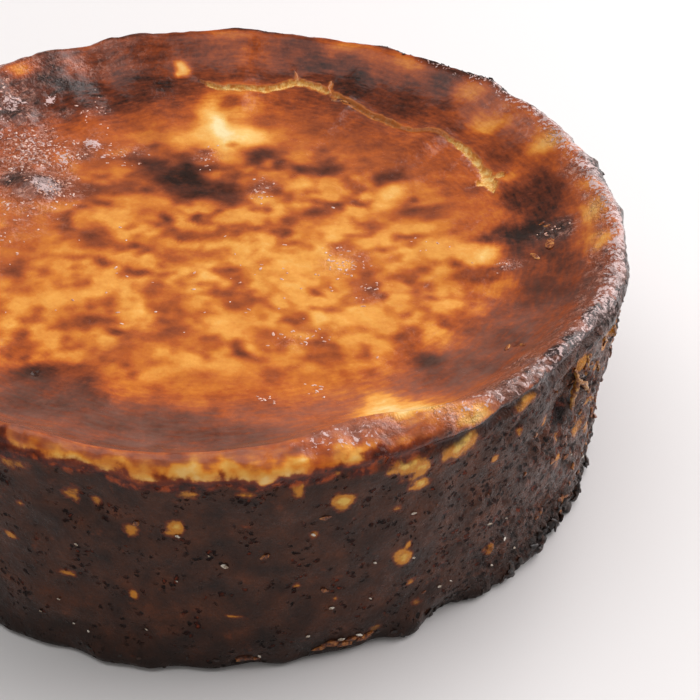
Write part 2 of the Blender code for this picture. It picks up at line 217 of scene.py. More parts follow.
# Spots on the shoulder and the wall: (angle, height, half width in degrees, half height, how brown)
SHOULDER_GOLD = (
    (-2, 52, 9.5, 2, 0.14), (-18, 52.6, 9, 1.8, 0.17), (-36, 52.8, 8, 1.6, 0.26),
    (-25.6, 53.5, 2.4, 1.3, 0.28), (-21.5, 52.2, 1.6, 0.9, 0.34), (-16.2, 51.7, 1.8, 1.1, 0.14),
    (-11, 51.4, 2.2, 0.8, 0.22), (-5.8, 51.4, 2.4, 1.4, 0.14), (-1.5, 51.3, 1.2, 0.9, 0.2),
    (1.5, 51.7, 2, 1.3, 0.18), (-9.5, 52.6, 1.3, 1, 0.42), (-13.5, 53, 1.6, 0.9, 0.4),
    (-29, 53.4, 2.4, 1.3, 0.72), (-33, 52.8, 1.8, 1.4, 0.64), (-24, 54, 2.6, 0.9, 0.62),
    (3.6, 53, 1.3, 0.9, 0.52), (5.3, 51.9, 2.8, 1.7, 0.16), (9.8, 52, 1.6, 1.6, 0.6),
    (8, 53.5, 0.9, 0.5, 0.08), (14.2, 53, 2.4, 1.1, 0.2), (20.6, 53.6, 1.2, 0.5, 0.36),
    (30.5, 53.4, 3.2, 1.3, 0.05), (24, 54.2, 2.4, 0.9, 0.44), (38.1, 52, 1.5, 1.5, 0.3),
    (43.3, 52.5, 1.3, 1, 0.5), (61.5, 53.7, 1.8, 0.5, 0.36), (104, 53, 4, 1.2, 0.3),
    (133, 52.5, 3, 1.2, 0.34), (158, 53, 3, 1.2, 0.3), (-168, 53, 3.5, 1.4, 0.26), (-143, 52.6, 3, 1.2, 0.3),
    (-118, 53, 4, 1.4, 0.22), (-97, 52.6, 2.4, 1.1, 0.28), (-72, 53, 4, 1.3, 0.2), (-49, 52.8, 3, 1.2, 0.24),
    (-37, 52.4, 2.2, 1, 0.3),
)
CHARRED_EDGE = (
    (176, 54, 4, 1.2, 0.93), (-170, 54, 4, 1, 0.84), (152, 53.8, 4, 1.4, 0.94), (139, 53.6, 3.6, 1.3, 0.9),
    (128, 53.6, 5, 1.5, 0.95), (117, 53.4, 4, 1.2, 0.9), (98, 53.2, 5, 1.2, 0.92), (84, 53, 4, 1.2, 0.88),
    (72, 53, 4, 1.2, 0.86), (-130, 53.4, 4, 1.3, 0.9), (-85, 53.4, 4, 1.2, 0.88), (-60, 53.2, 3, 1.2, 0.86),
)
WALL_GOLD = (
    (-26, 48, 1.6, 1.4, 0.5), (-19, 44.5, 0.9, 2, 0.5), (-16, 43, 0.6, 1.2, 0.52), (-5, 47.5, 0.9, 1, 0.32),
    (1.2, 47.8, 1.1, 0.6, 0.48), (7.2, 48, 0.7, 1.7, 0.42), (10.8, 50.2, 1.5, 0.6, 0.36),
    (12.8, 43, 1.1, 1.6, 0.16), (20.2, 48.4, 1.6, 2.6, 0.18), (22.1, 46.2, 1.1, 2.2, 0.24),
    (22.8, 42, 1.1, 1, 0.14), (27.7, 48.4, 1.9, 2.6, 0.14), (37.8, 52.4, 1.4, 2.4, 0.26),
    (43.6, 52, 1, 1, 0.5), (-6.7, 38.8, 0.9, 1.4, 0.26), (-7.6, 37.4, 0.8, 0.8, 0.4),
    (-12, 37.2, 0.8, 1.2, 0.34), (-25.8, 38.2, 0.6, 0.7, 0.46), (-18.5, 42.4, 0.5, 1.2, 0.46),
    (-28, 28.5, 0.9, 0.8, 0.36), (-21, 22.3, 1, 0.7, 0.44), (-12.5, 19.6, 0.5, 0.8, 0.34),
    (0, 15.4, 0.9, 0.4, 0.4), (1, 39.5, 0.6, 0.4, 0.5), (9.2, 36, 0.5, 0.9, 0.46),
    (21.2, 24.2, 1.2, 1.5, 0.24), (21.8, 26.6, 0.4, 0.7, 0.34), (22.9, 15, 0.5, 0.5, 0.4),
    (12.3, 17, 0.4, 0.5, 0.46), (7.5, 22.5, 0.5, 0.6, 0.48), (19.8, 37.6, 0.5, 0.6, 0.46),
    (24, 8.2, 1, 0.7, 0.5), (18.2, 5, 0.8, 1, 0.5), (35.6, 14, 0.8, 1.6, 0.52), (33.8, 40.4, 0.6, 0.8, 0.4),
    (38, 44, 0.4, 1.6, 0.5), (42.8, 41.6, 0.6, 1.4, 0.5), (48.2, 39.6, 0.7, 0.7, 0.42),
    (51.2, 48.6, 1.2, 1.6, 0.34), (48.7, 26.2, 0.8, 0.6, 0.3), (49.6, 24, 0.9, 1.4, 0.54),
    (48, 32, 1.2, 1, 0.52), (57, 25, 1.4, 2.4, 0.46), (58.4, 30.8, 1.4, 0.8, 0.34),
    (59.4, 46.4, 1.5, 1.8, 0.32), (57.6, 41.4, 1, 1.2, 0.46), (63.4, 46, 1.2, 2.6, 0.38),
    (66, 37, 1, 2.4, 0.44), (62, 20, 1.4, 2.2, 0.5), (69, 25, 1.2, 2.4, 0.48), (74, 41, 1.6, 1.6, 0.4),
    (92, 33, 1.4, 1.8, 0.34), (108, 45, 1.6, 1.6, 0.3), (131, 22, 1, 1.4, 0.36), (-138, 32, 2, 2.2, 0.34),
    (-104, 44, 1.6, 1.4, 0.26), (-81, 27, 1, 1.5, 0.32), (-62, 46, 2, 1.4, 0.28), (-47, 36, 1, 1.2, 0.34),
    (168, 44, 1.6, 1.8, 0.3), (-171, 18, 1, 1.2, 0.38),
)

# Pale chips on the wall, their colour a painted highlight for the glints of the wall's pit edges: (angle,
# height, width)
PALE_FLECKS = (
    (-25.5, 9.5, 0.8), (-22.6, 14.5, 0.6), (-21, 8.2, 0.6), (-19, 31.5, 0.6), (-19, 7.2, 0.5),
    (-11.3, 10.5, 0.6), (-7, 24.6, 0.5), (-6.5, 37, 1), (-3, 32, 0.5), (-1.2, 29.4, 1.3), (2.8, 4, 0.7),
    (8.8, 8.6, 0.9), (9.2, 36.3, 0.8), (11.8, 15, 0.9), (17, 14.8, 0.6), (17.2, 25, 0.7), (22, 35.2, 0.9),
    (22.6, 22.8, 0.7), (27.5, 10.2, 0.8), (29.4, 10, 0.5), (34.6, 22.3, 1.2), (36.8, 7.6, 0.7), (38, 14.6, 1),
    (38.6, 19.5, 0.6), (41.2, 8.2, 0.9), (13.4, 4.6, 1.1), (14.6, 4, 0.9), (15.8, 4.9, 1.2), (16.4, 3.8, 0.8),
)
# Loose bits against the foot: (angle, height, width)
FOOT_BITS = (
    (0.9, 3.2, 3.6), (2.3, 2.6, 2.4), (10.6, 3.2, 3), (12.2, 3.9, 4.4), (13.9, 3.2, 3.6), (15.1, 4.2, 3.2),
    (16.6, 3.6, 3.8),
)
# Bits on the top skin: (x, y, width, turn in degrees)
SKIN_BITS = (
    (72, -12.4, 5, 14), (68, -16, 3.2, 22), (73, -4, 1.9, 70), (72.2, -2.4, 1.6, 110), (30, 61.4, 3.4, 35),
    (32.4, 59.8, 2.4, -20), (55.9, -49.6, 2.4, 0), (58.6, -50.6, 2, 60),
)
# Clusters of tiny bubbles in the top skin: (x, y, half width, half depth, how many)
BUBBLE_CLUSTERS = (
    (-47, 37, 7, 10, 160), (-38, 37, 4, 8, 44), (-40, 20, 6, 8, 46), (-50, 16, 8, 6, 34), (-54, 60, 5, 6, 18),
    (-32, 56, 4, 7, 20), (-25, 38, 5, 6, 22), (-52, 2, 10, 18, 40), (26, -11, 5, 6, 34), (30, -24, 3, 5, 12),
    (16, -40, 6, 4, 20), (9, 20, 3, 6, 18), (-4, 35, 2, 6, 14), (8, -61, 3, 3, 8), (17, -58, 3, 4, 10),
    (61, -17, 2, 2, 5), (74, -7, 4, 3, 8), (46, -6, 9, 9, 8), (12, -18, 26, 22, 36), (-20, -16, 20, 24, 16),
)
# Torn strands of custard: stops (angle, height, how far out in thicknesses), and thickness
STRANDS = (
    (((50, 48, 0.1), (50.7, 45.4, 0.5), (50.6, 42.4, 0.6), (51.3, 39.4, 0.8), (51.8, 35.8, 0.1)), 1.5),
    (((51, 44.6, 0.2), (52.6, 42.4, 0.8), (54.2, 39.8, 1), (56, 36.8, 0.1)), 1.4),
    (((52, 49.6, 0.1), (53, 47.4, 0.5), (52.4, 44.6, 0.1)), 1),
    (((58, 48.5, 0.1), (59.4, 46, 0.6), (61.6, 43.8, 0.1)), 1.1),
    (((57.2, 43, 0.1), (58.8, 40.4, 0.6), (59.8, 37.8, 0.1)), 0.9),
    (((62, 47.5, 0.1), (63.4, 44, 0.6), (64.6, 41.4, 0.1)), 1),
    (((58, 31.8, 0), (59.2, 30.2, 0.5), (60.6, 29.4, 0)), 0.9),
    (((67, 38, 0), (68.6, 35.2, 0.6), (69.4, 31.6, 0)), 1),
    (((-138.5, 34, 0.2), (-140, 31, 0.8), (-141, 28, 0.1)), 1.1),
)

# ---------------------------------------------------------------- fields over the cake, for arrays of places


def eased(values):
    """Runs smoothly from 0 to 1 as the values do."""
    held = np.clip(values, 0.0, 1.0)
    return held * held * (3.0 - 2.0 * held)


def bell(away, half_width, power=2):
    """1 in the middle, falling off past the half width."""
    return np.exp(-(np.abs(away / half_width) ** power))


def beyond(angle, middle):
    """How many degrees an angle lies past a middle one, the short way round."""
    return (np.degrees(angle) - middle + 180.0) % 360.0 - 180.0


def near_angle(angle, middle, half_width, power=2):
    return bell(beyond(angle, middle), half_width, power)


def stretches(angle, table):
    return sum(amount * near_angle(angle, *stretch) for *stretch, amount in table)


def waves(angle, table):
    return sum(size * np.sin(count * angle + math.radians(phase)) for count, size, phase in table)


def bumps(angle, table):
    return sum(size * near_angle(angle, at, half_width) for at, size, half_width in table)


def noise_at(points, size, shift=0.0):
    """Smooth noise, about -0.6 to 0.6, with lumps of this size."""
    return np.array([noise.noise(Vector(point)) for point in points / size + shift])


def lumps(points, table):
    return sum(height * noise_at(points, size) for size, height in table)


def push_at(points, size, first, second):
    """Two noises, to push spots out of their plain outlines."""
    return np.stack([noise_at(points, size, first), noise_at(points, size, second)], 1)


def pits(points, size, share):
    """Small pits of a crust: 0 on its level parts, 1 at the bottom of a pit."""
    found = np.zeros(len(points))
    for row, point in enumerate(points / size):
        distances, centres = noise.voronoi(Vector(point))
        reach = 0.20 + 0.28 * abs(noise.cell(centres[0] * 7.3))
        if abs(noise.cell(centres[0] * 3.1 + Vector((5.0, 1.0, 2.0)))) <= share:
            found[row] = max(0.0, 1.0 - distances[0] / reach)
    return found


def crumbled(points, size, shift=0.0):
    """Rounded lumps with sharp furrows between them, about 0 to 1."""
    found = [noise.voronoi(Vector(point))[0] for point in points / size + shift]
    return np.array([min(1.4 * (second - first), 1.0) for first, second, *_ in found])


def polar(radius, angle, height=0.0):
    """Places round the cake's axis, one row each."""
    return np.stack(np.broadcast_arrays(radius * np.sin(angle), -radius * np.cos(angle), height), 1)


def around(places):
    """Radius and angle of each place."""
    return np.hypot(places[:, 0], places[:, 1]), np.arctan2(places[:, 0], -places[:, 1])


def flat(places):
    return np.column_stack([places[:, :2], np.zeros(len(places))])


def paint(level, places, push, spots, sharpness=2.4, strength=1.0):
    """Brings the level near each spot on the top to the spot's own level, with uneven edges."""
    for x, y, wide, deep, turn, target in spots:
        away = places + push * min(wide, deep) - (x, y)
        near = np.flatnonzero(np.abs(away).max(1) < 2.4 * max(wide, deep))
        c, s = math.cos(math.radians(turn)), math.sin(math.radians(turn))
        u = (away[near, 0] * c + away[near, 1] * s) / wide
        v = (away[near, 1] * c - away[near, 0] * s) / deep
        level[near] += (target - level[near]) * strength * np.exp(-(np.hypot(u, v) ** sharpness) * 0.75)
    return level


def bubbly(places):
    """How far the skin is full of tiny glossy bubbles, 0 to 1."""
    at = flat(places)
    spots = paint(np.zeros(len(at)), at[:, :2], push_at(at, 7.0, 11.0, 31.0), BUBBLY_SPOTS, 3.0)
    radius, angle = around(at)
    outward = radius - 80.0 - 3.0 * noise_at(at, 9.0, 5.0)
    right = near_angle(angle, 72.0, 54.0, 6) * eased(outward / 3.0)
    right *= 0.35 + 0.65 * eased(0.5 + 2.6 * noise_at(at, 6.0, 61.0))
    left = 0.55 * near_angle(angle, -100.0, 60.0, 6) * eased((outward + 6.0) / 6.0)
    return np.maximum(spots, np.maximum(right, left))


def coarseness(angle):
    """How torn the wall's crust is: most on the right of the front, less in front and behind."""
    return 0.45 + 0.75 * near_angle(angle, 66.0, 36.0)


def char_share(angle):
    """How far the rim's outer edge is burnt to flakes: behind on the right most of all."""
    return np.maximum(near_angle(angle, 114.0, 66.0, 6), 0.45 * near_angle(angle, -110.0, 50.0, 4))


def crust_edge(angle):
    """How high the dark crust reaches."""
    return CRUST_HEIGHT + stretches(angle, CRUST_STRETCHES)


# ---------------------------------------------------------------- the baked form


def crest_radius(angle):
    return CREST_RADIUS + bumps(angle, CREST_SHIFTS)


def crest_height(angle):
    return CREST_HEIGHT + waves(angle, CREST_WAVES) + bumps(angle, CREST_BUMPS)


def fall(inward, width):
    """Runs from 0 at the crest to 1 well inside it."""
    return 1.0 - np.exp(-((np.maximum(0.0, inward) / width) ** LIP_POWER))


def sink(inward, angle):
    """How far the skin lies below the crest, at a distance inside it."""
    lip = LIP_WIDTH + (ROLLED_LIP_WIDTH - LIP_WIDTH) * near_angle(angle, *ROLLED_STRETCH, 4)
    slope = SLOPE_WIDTH_FRONT + (SLOPE_WIDTH_BACK - SLOPE_WIDTH_FRONT) * eased(0.5 - 0.5 * np.cos(angle))
    return LIP_DROP * fall(inward, lip) + (SINK - LIP_DROP) * fall(inward, slope)


def top_height(places):
    """Height of the sunken skin inside the crest."""
    radius, angle = around(places)
    near_rim = eased((radius - RIM_FADE) / (CREST_RADIUS - RIM_FADE))
    crest = CREST_HEIGHT + (crest_height(angle) - CREST_HEIGHT) * near_rim
    bowl = BOWL * np.maximum(0.0, 1.0 - (radius / BOWL_RADIUS) ** 2)
    return crest - sink(crest_radius(angle) - radius, angle) - bowl + lumps(flat(places), TOP_LUMPS)


def dents(angle, height, table, power):
    """Depth of round dents in the wall."""
    depth = 0.0
    for middle, level, radius, deepest in table:
        across = np.radians(beyond(angle, middle)) * EDGE_RADIUS
        depth = depth + deepest * bell(np.hypot(across, height - level), radius, power)
    return depth


def wall_offset(angle, height):
    """How far the wall stands out of its plain cone."""
    at = polar(EDGE_RADIUS, angle, height)
    crag_size, crag_height = FOOT_CRAGS
    offset = waves(angle, OUTLINE_WAVES) + lumps(at, WALL_LUMPS)
    offset -= WALL_WAIST * np.sin(math.pi * np.minimum(1.0, height / EDGE_HEIGHT))
    offset += crag_height * noise_at(at, crag_size) * eased(1.0 - height / FOOT_CRAG_HEIGHT)
    offset += bumps(angle, FOOT_SPREADS) * eased(1.0 - height / FOOT_SPREAD_HEIGHT)
    return offset - dents(angle, height, WALL_HOLLOWS, 2)


def route_points(stops, step=0.8):
    """Points about a step apart on a smooth curve through the stops, as (x, y, half width)."""
    stops = np.array(stops)
    ends = [2 * stops[0] - stops[1], *stops, 2 * stops[-1] - stops[-2]]
    points = []
    for before, start, stop, after in zip(ends, ends[1:], ends[2:], ends[3:]):
        count = max(1, round(math.dist(start, stop) / step))
        for t in np.arange(count) / count:
            bend = 2 * before - 5 * start + 4 * stop - after + (3 * (start - stop) + after - before) * t
            points.append(start + 0.5 * t * (stop - before + bend * t))
    return np.array([*points, stops[-1]])


CRACKS = [route_points(stops) for stops in (CRACK_ROUTE, *CRACK_ARMS)]


def beside_route(places, route):
    """For each place (x, y): its distance from the route, the half width there and its side."""
    starts, along = route[:-1, :2], np.diff(route[:, :2], axis=0)
    offset = places[:, None, :] - starts[None]
    share = np.clip((offset * along[None]).sum(2) / (along**2).sum(1), 0.0, 1.0)
    away = offset - share[..., None] * along[None]
    distance = np.hypot(away[..., 0], away[..., 1])
    nearest = distance.argmin(1)
    rows = np.arange(len(places))
    share, offset, along = share[rows, nearest], offset[rows, nearest], along[nearest]
    width = route[nearest, 2] * (1.0 - share) + route[nearest + 1, 2] * share
    return distance[rows, nearest], width, np.sign(along[:, 0] * offset[:, 1] - along[:, 1] * offset[:, 0])


def crack_fields(places):
    """Room inside the crack in millimetres, negative outside it, and the side of the nearest route."""
    room, side = np.full(len(places), -CRACK_NEAR), np.zeros(len(places))
    for route in CRACKS:
        low, high = route[:, :2].min(0) - CRACK_NEAR, route[:, :2].max(0) + CRACK_NEAR
        near = np.flatnonzero(((places > low) & (places < high)).all(1))
        distance, width, towards = beside_route(places[near], route)
        better = width - distance > room[near]
        room[near[better]], side[near[better]] = (width - distance)[better], towards[better]
    return room, side


# ---------------------------------------------------------------- modelling by operators


def select(test):
    """In edit mode, selects the vertices whose place in millimetres passes the test."""
    bpy.ops.mesh.select_mode(type="VERT")
    work = bmesh.from_edit_mesh(bpy.context.edit_object.data)
    for vertex in work.verts:
        vertex.select = test(vertex.co / MM)
    work.select_flush_mode()
    bmesh.update_edit_mesh(bpy.context.edit_object.data)


def extrude_ring(start, end):
    """Extrudes the selected ring from one (radius, height) to the next."""
    rise = (end[1] - start[1]) * MM
    bpy.ops.mesh.extrude_region_move(TRANSFORM_OT_translate={"value": (0.0, 0.0, rise)})
    share = end[0] / start[0]
    bpy.ops.transform.resize(value=(share, share, 1.0), center_override=(0.0, 0.0, end[1] * MM))


def extrude_band(start, end, step):
    """Extrudes rings about a step apart, as far as the end."""
    count = max(1, round(math.dist(start, end) / step))
    at = start
    for ring in range(1, count + 1):
        target = tuple(first + (last - first) * ring / count for first, last in zip(start, end))
        extrude_ring(at, target)
        at = target


def halve_ring(count):
    """Merges the vertices of the selected ring of so many edges in pairs."""
    bpy.ops.mesh.select_mode(type="EDGE")
    work = bmesh.from_edit_mesh(bpy.context.edit_object.data)
    for edge in [edge for edge in work.edges if edge.select]:
        middle = (edge.verts[0].co + edge.verts[1].co) / 2
        turn = math.atan2(middle.x, -middle.y) % math.tau / math.tau
        edge.select = math.floor(turn * count) % 2 == 0
    work.select_flush_mode()
    bmesh.update_edit_mesh(bpy.context.edit_object.data)
    bpy.ops.mesh.merge(type="COLLAPSE")


def plain_cake():
    """The plain turned cake, extruded ring by ring from the foot over the rim to the middle."""
    bpy.ops.mesh.primitive_circle_add(
        vertices=COLUMNS, radius=BASE_RADIUS * MM, fill_type="NOTHING", location=(0.0, 0.0, FOOT_ROUND * MM)
    )
    cake = bpy.context.object
    cake.name = "baked_cake"
    bpy.ops.object.transform_apply(location=True, rotation=True, scale=True)
    bpy.ops.object.mode_set(mode="EDIT")
    bpy.ops.mesh.select_all(action="SELECT")
    at = (EDGE_RADIUS, EDGE_HEIGHT)
    extrude_band((BASE_RADIUS, FOOT_ROUND), at, WALL_RING_STEP)
    for step in range(1, SHOULDER_RINGS + 1):
        turn = 0.5 * math.pi * step / SHOULDER_RINGS
        radius = CREST_RADIUS + (EDGE_RADIUS - CREST_RADIUS) * math.cos(turn)
        target = (radius, EDGE_HEIGHT + (CREST_HEIGHT - EDGE_HEIGHT) * math.sin(turn))
        extrude_ring(at, target)
        at = target
    count, start = COLUMNS, CREST_RADIUS
    for radius in HALVED_AT:
        extrude_band((start, CREST_HEIGHT), (radius, CREST_HEIGHT), TOP_RING_STEP)
        start = radius - TOP_RING_STEP
        extrude_ring((radius, CREST_HEIGHT), (start, CREST_HEIGHT))
        halve_ring(count)
        count //= 2
        select(lambda at: at.z > CREST_HEIGHT - FOUND and math.hypot(at.x, at.y) < start + FOUND)
    extrude_band((start, CREST_HEIGHT), (GRID_RADIUS, CREST_HEIGHT), TOP_RING_STEP)
    bpy.ops.mesh.fill_grid(span=count // 4)
    select(lambda at: abs(at.z - FOOT_ROUND) < FOUND and abs(math.hypot(at.x, at.y) - BASE_RADIUS) < FOUND)
    extrude_ring((BASE_RADIUS, FOOT_ROUND), (BASE_RADIUS - FOOT_ROUND, 0.0))
    bpy.ops.mesh.edge_face_add()
    bpy.ops.mesh.select_all(action="SELECT")
    bpy.ops.mesh.normals_make_consistent(inside=False)
    bpy.ops.object.mode_set(mode="OBJECT")
    return cake


def read_places(items, key):
    """The places of a mesh's vertices or faces in millimetres, one row each."""
    places = np.empty(len(items) * 3)
    items.foreach_get(key, places)
    return places.reshape(-1, 3) / MM


def refine_crack(mesh):
    """Divides the faces along the crack, so that its edges are sharp."""
    centres = read_places(mesh.polygons, "center")
    room, _ = crack_fields(centres[:, :2])
    near = (room > -0.4) & (centres[:, 2] > CREST_HEIGHT - FOUND)
    mesh.vertices.foreach_set("select", np.zeros(len(mesh.vertices), bool))
    mesh.edges.foreach_set("select", np.zeros(len(mesh.edges), bool))
    mesh.polygons.foreach_set("select", near)
    bpy.context.tool_settings.mesh_select_mode = (False, False, True)
    bpy.ops.object.mode_set(mode="EDIT")
    bpy.ops.mesh.subdivide(number_cuts=3)
    bpy.ops.object.mode_set(mode="OBJECT")


# ---------------------------------------------------------------- shaping the plain rings


def bubbles_height(places):
    total = np.zeros(len(places))
    for x, y, radius, height, depth in BUBBLES:
        away = np.hypot(places[:, 0] - x, places[:, 1] - y) / radius
        total += height * np.where(away < 1.6, np.exp(-2.2 * away**2), 0.0)
        if depth:
            total -= (depth + 0.4 * height) * bell(away, 0.45)
    return total


def fold(angle, height):
    """Depth of the dark fold under the rolled lip, right of the front."""
    middle = np.minimum(crust_edge(angle) - 0.6, 52.4)
    return near_angle(angle, 36.0, 25.0, 4) * bell(height - middle, 0.9)


def foot_crags(angle, height):
    """Chunky burnt lumps round the foot."""
    at = polar(EDGE_RADIUS, angle, height)
    crags = (crumbled(at, 6.5, 17.0) - 0.45) * 1.5 + (crumbled(at, 2.6, 3.0) - 0.5) * 0.4
    return crags * eased(1.0 - height / 7.0) * (0.25 + 0.9 * eased((coarseness(angle) - 0.55) / 0.35))


def narrowed(room, at):
    """The room in the crack with ragged edges, and how far its middle and its arms have closed again."""
    x, y, _ = at.T
    sealed = eased((x - 27.0) / 6.0) * eased((58.5 - x) / 4.0) * (y > 30.0)
    for arm_x, arm_y in CRACK_ARM_ENDS:
        sealed = np.maximum(sealed, 0.8 * eased(1.6 - np.hypot(x - arm_x, y - arm_y) / 1.6))
    room = room - CRACK_CLOSED - 0.28 * sealed + 0.22 * eased((x - 56.0) / 3.0)
    return room - 0.55 * noise_at(at, 2.8, 2.0) - 0.40 * noise_at(at, 1.3, 6.0), sealed


def shape_top(places, room, side, wet):
    """The sunken skin, with its crack, blisters and bubbles."""
    at = flat(places)
    height = top_height(places) + bubbles_height(places) + 0.10 * noise_at(at, 3.1)
    height += wet * (0.50 * noise_at(at, 4.6, 6.0) + 0.42 * noise_at(at, 2.0, 4.0))
    away = np.maximum(0.0, -room)
    edge = np.where(side > 0, 0.30 * bell(away, 1.8), -0.40 * np.exp(-away / 2.2)) * (room < 0)
    at[:, 2] = height - 0.8 * eased((room + 0.3) / 0.8) + edge
    return at


def shape_wall(radius, angle, height):
    """The plain wall's places with its uneven crust, and how deep each lies in a pit or torn hole, for the
    finish's dark pit colour and painted shade.
    """
    cone = polar(EDGE_RADIUS, angle, height)
    torn = coarseness(angle)
    below = eased((50.5 - height) / 2.5)
    pit = np.maximum(pits(cone, 3.4, 0.7), 0.8 * pits(cone + 40.0, 2.3, 0.6))
    pit *= 0.25 + 0.75 * eased((torn - 0.5) / 0.35)
    holes = dents(angle, height, TORN_HOLES, 4)
    swell = 0.60 * noise_at(cone, 7.5, 23.0)
    swell += (0.10 + 0.35 * eased((torn - 0.8) / 0.4)) * noise_at(cone, 3.2, 9.0)
    furrows = crumbled(cone, 3.6, 5.0) - 0.6 + eased((torn - 0.7) / 0.4) * (crumbled(cone, 2.3, 8.0) - 0.5)
    ragged = eased(0.5 + 2.2 * noise_at(cone, 12.0, 3.0)) * eased((torn - 0.6) / 0.3)
    shaped = radius + wall_offset(angle, height) + foot_crags(angle, height)
    shaped += below * (torn * swell + ragged * furrows - (0.30 + 0.55 * torn) * pit)
    shaped -= holes + fold(angle, height)
    lift = (crest_height(angle) - CREST_HEIGHT) * (height / EDGE_HEIGHT) ** LIFT_POWER
    # Pits and torn holes both get the dark pit colour, which is partly painted shade
    return polar(shaped, angle, height + lift), np.maximum(pit, eased((holes - 0.5) / 0.6))


def shape_shoulder(radius, angle, height):
    """The shoulder, rolled over from the wall to the crest, lumpy and flaked where it is charred."""
    inner_radius = crest_radius(angle)
    share = (radius - CREST_RADIUS) / (EDGE_RADIUS - CREST_RADIUS)
    rise = (height - EDGE_HEIGHT) / (CREST_HEIGHT - EDGE_HEIGHT)
    rolled = inner_radius + (EDGE_RADIUS + wall_offset(angle, EDGE_HEIGHT) - inner_radius) * share
    edge = EDGE_HEIGHT + crest_height(angle) - CREST_HEIGHT
    crest = top_height(polar(inner_radius, angle))
    at = polar(rolled, angle, edge + (crest - edge) * rise)
    wet = bubbly(at)
    lump = 0.95 * noise_at(at, 7.0, 41.0) + 0.35 * noise_at(at, 3.0, 14.0)
    lump += noise_at(at, 1.7, 4.0) * (0.10 + 0.30 * wet)
    lump *= np.sin(math.pi * np.clip(0.15 + 0.6 * rise, 0.0, 1.0))
    flake = 2.0 * np.maximum(0.0, noise_at(at, 3.4, 71.0) + 0.05)
    flake += 0.7 * np.maximum(0.0, noise_at(at, 1.7, 33.0))
    flake *= char_share(angle) * bell(rise - 0.45, 0.32)
    flake *= 0.4 + 0.6 * eased((np.abs(beyond(angle, 0.0)) - 122.0) / 10.0)
    out = (lump + flake) * np.sqrt(1.0 - rise**2) - fold(angle, height)
    return at + polar(out, angle, (lump + flake) * rise), wet


def shape_cake(cake):
    """Moves the plain rings to the uneven baked form and keeps what the finish needs as attributes."""
    mesh = cake.data
    plain = read_places(mesh.vertices, "co")
    radius, angle = around(plain)
    angle = angle - COLUMN_CROWDING * eased(radius / 50.0) * np.sin(angle - math.radians(CROWDED_AT))
    inside = (plain[:, 2] > CREST_HEIGHT - FOUND) & (radius < CREST_RADIUS + FOUND)
    radius = radius * np.where(inside, crest_radius(angle) / CREST_RADIUS, 1.0)
    mesh.vertices.foreach_set("co", (polar(radius, angle, plain[:, 2]) * MM).ravel())
    refine_crack(mesh)

    moved = read_places(mesh.vertices, "co")
    radius, angle = around(moved)
    height = moved[:, 2]
    on_top, on_base = height > CREST_HEIGHT - FOUND, height < FOUND
    on_wall = (height < EDGE_HEIGHT + FOUND) & ~on_base
    on_shoulder = ~(on_top | on_base | on_wall)
    final = moved.copy()
    room, side, sealed, pit, wet = np.zeros((5, len(moved)))
    room[:] = -CRACK_NEAR
    plain_room, side[on_top] = crack_fields(moved[on_top, :2])
    room[on_top], sealed[on_top] = narrowed(plain_room, moved[on_top])
    wet[on_top] = bubbly(moved[on_top])
    final[on_top] = shape_top(moved[on_top], room[on_top], side[on_top], wet[on_top])
    final[on_wall], pit[on_wall] = shape_wall(radius[on_wall], angle[on_wall], height[on_wall])
    wet[on_wall] = eased((coarseness(angle[on_wall]) - 0.5) / 0.6)
    shoulder = shape_shoulder(radius[on_shoulder], angle[on_shoulder], height[on_shoulder])
    final[on_shoulder], wet[on_shoulder] = shoulder
    low = angle[on_base]
    shaped = radius[on_base] + wall_offset(low, 0.0) + foot_crags(low, 0.0)
    final[on_base] = polar(shaped, low, height[on_base])
    mesh.vertices.foreach_set("co", (final * MM).ravel())
    mesh.update()

    high = np.where(on_shoulder, eased((height - 51.8) / 1.2), 0.0)
    fields = {"room": room, "pit": pit, "wet": wet, "sealed": sealed, "high": high}
    fields.update(browning(final, height, angle, on_top, on_shoulder))
    for name, values in fields.items():
        layer = mesh.attributes.new(name, "FLOAT", "POINT")
        layer.data.foreach_set("value", values.astype(np.float32))
    radius, angle = around(final)
    turn = EDGE_RADIUS / STREAK_LENGTH
    swept = np.stack([turn * np.sin(angle), turn * np.cos(angle), radius / STREAK_WIDTH], 1)
    layer = mesh.attributes.new("swept", "FLOAT_VECTOR", "POINT")
    layer.data.foreach_set("vector", swept.astype(np.float32).ravel())


# ---------------------------------------------------------------- how brown the skin is


def skin_level(here, radius, push):
    """How brown the skin is, at places (x, y) on the top and the shoulder."""
    at = flat(here)
    broad = noise_at(at, 13.0, 5.0)
    mottle = noise_at(at, 5.6, 1.0) + 0.65 * noise_at(at, 2.9, 8.0)
    middle = 0.41 + 0.10 * broad + 0.42 * np.maximum(mottle - 0.03, -0.28)
    rim = 0.67 + 0.15 * broad + 0.10 * mottle
    level = middle + (rim - middle) * eased((radius - 58.0) / 16.0)
    for spots, bent, sharpness, strength in (
        (CLOUDS, 1.0, 2.4, 0.85),
        (PALE_SPOTS, 0.5, 2.6, 0.95),
        (CREAM_PATCH, 0.4, 3.6, 1.0),
        (SPOTS, 1.0, 2.2, 0.95),
    ):
        level = paint(level, here, bent * push, spots, sharpness, strength)
    return level


def spot_weight(angle, height, spot, push, spread, sharpness):
    """How strongly a spot on the shoulder or the wall shows at each place."""
    middle, level, wide, tall, _ = spot
    u, v = beyond(angle, middle) / wide + push[:, 0], (height - level) / tall + push[:, 1]
    return np.exp(-(np.hypot(u, v) ** sharpness) * spread)


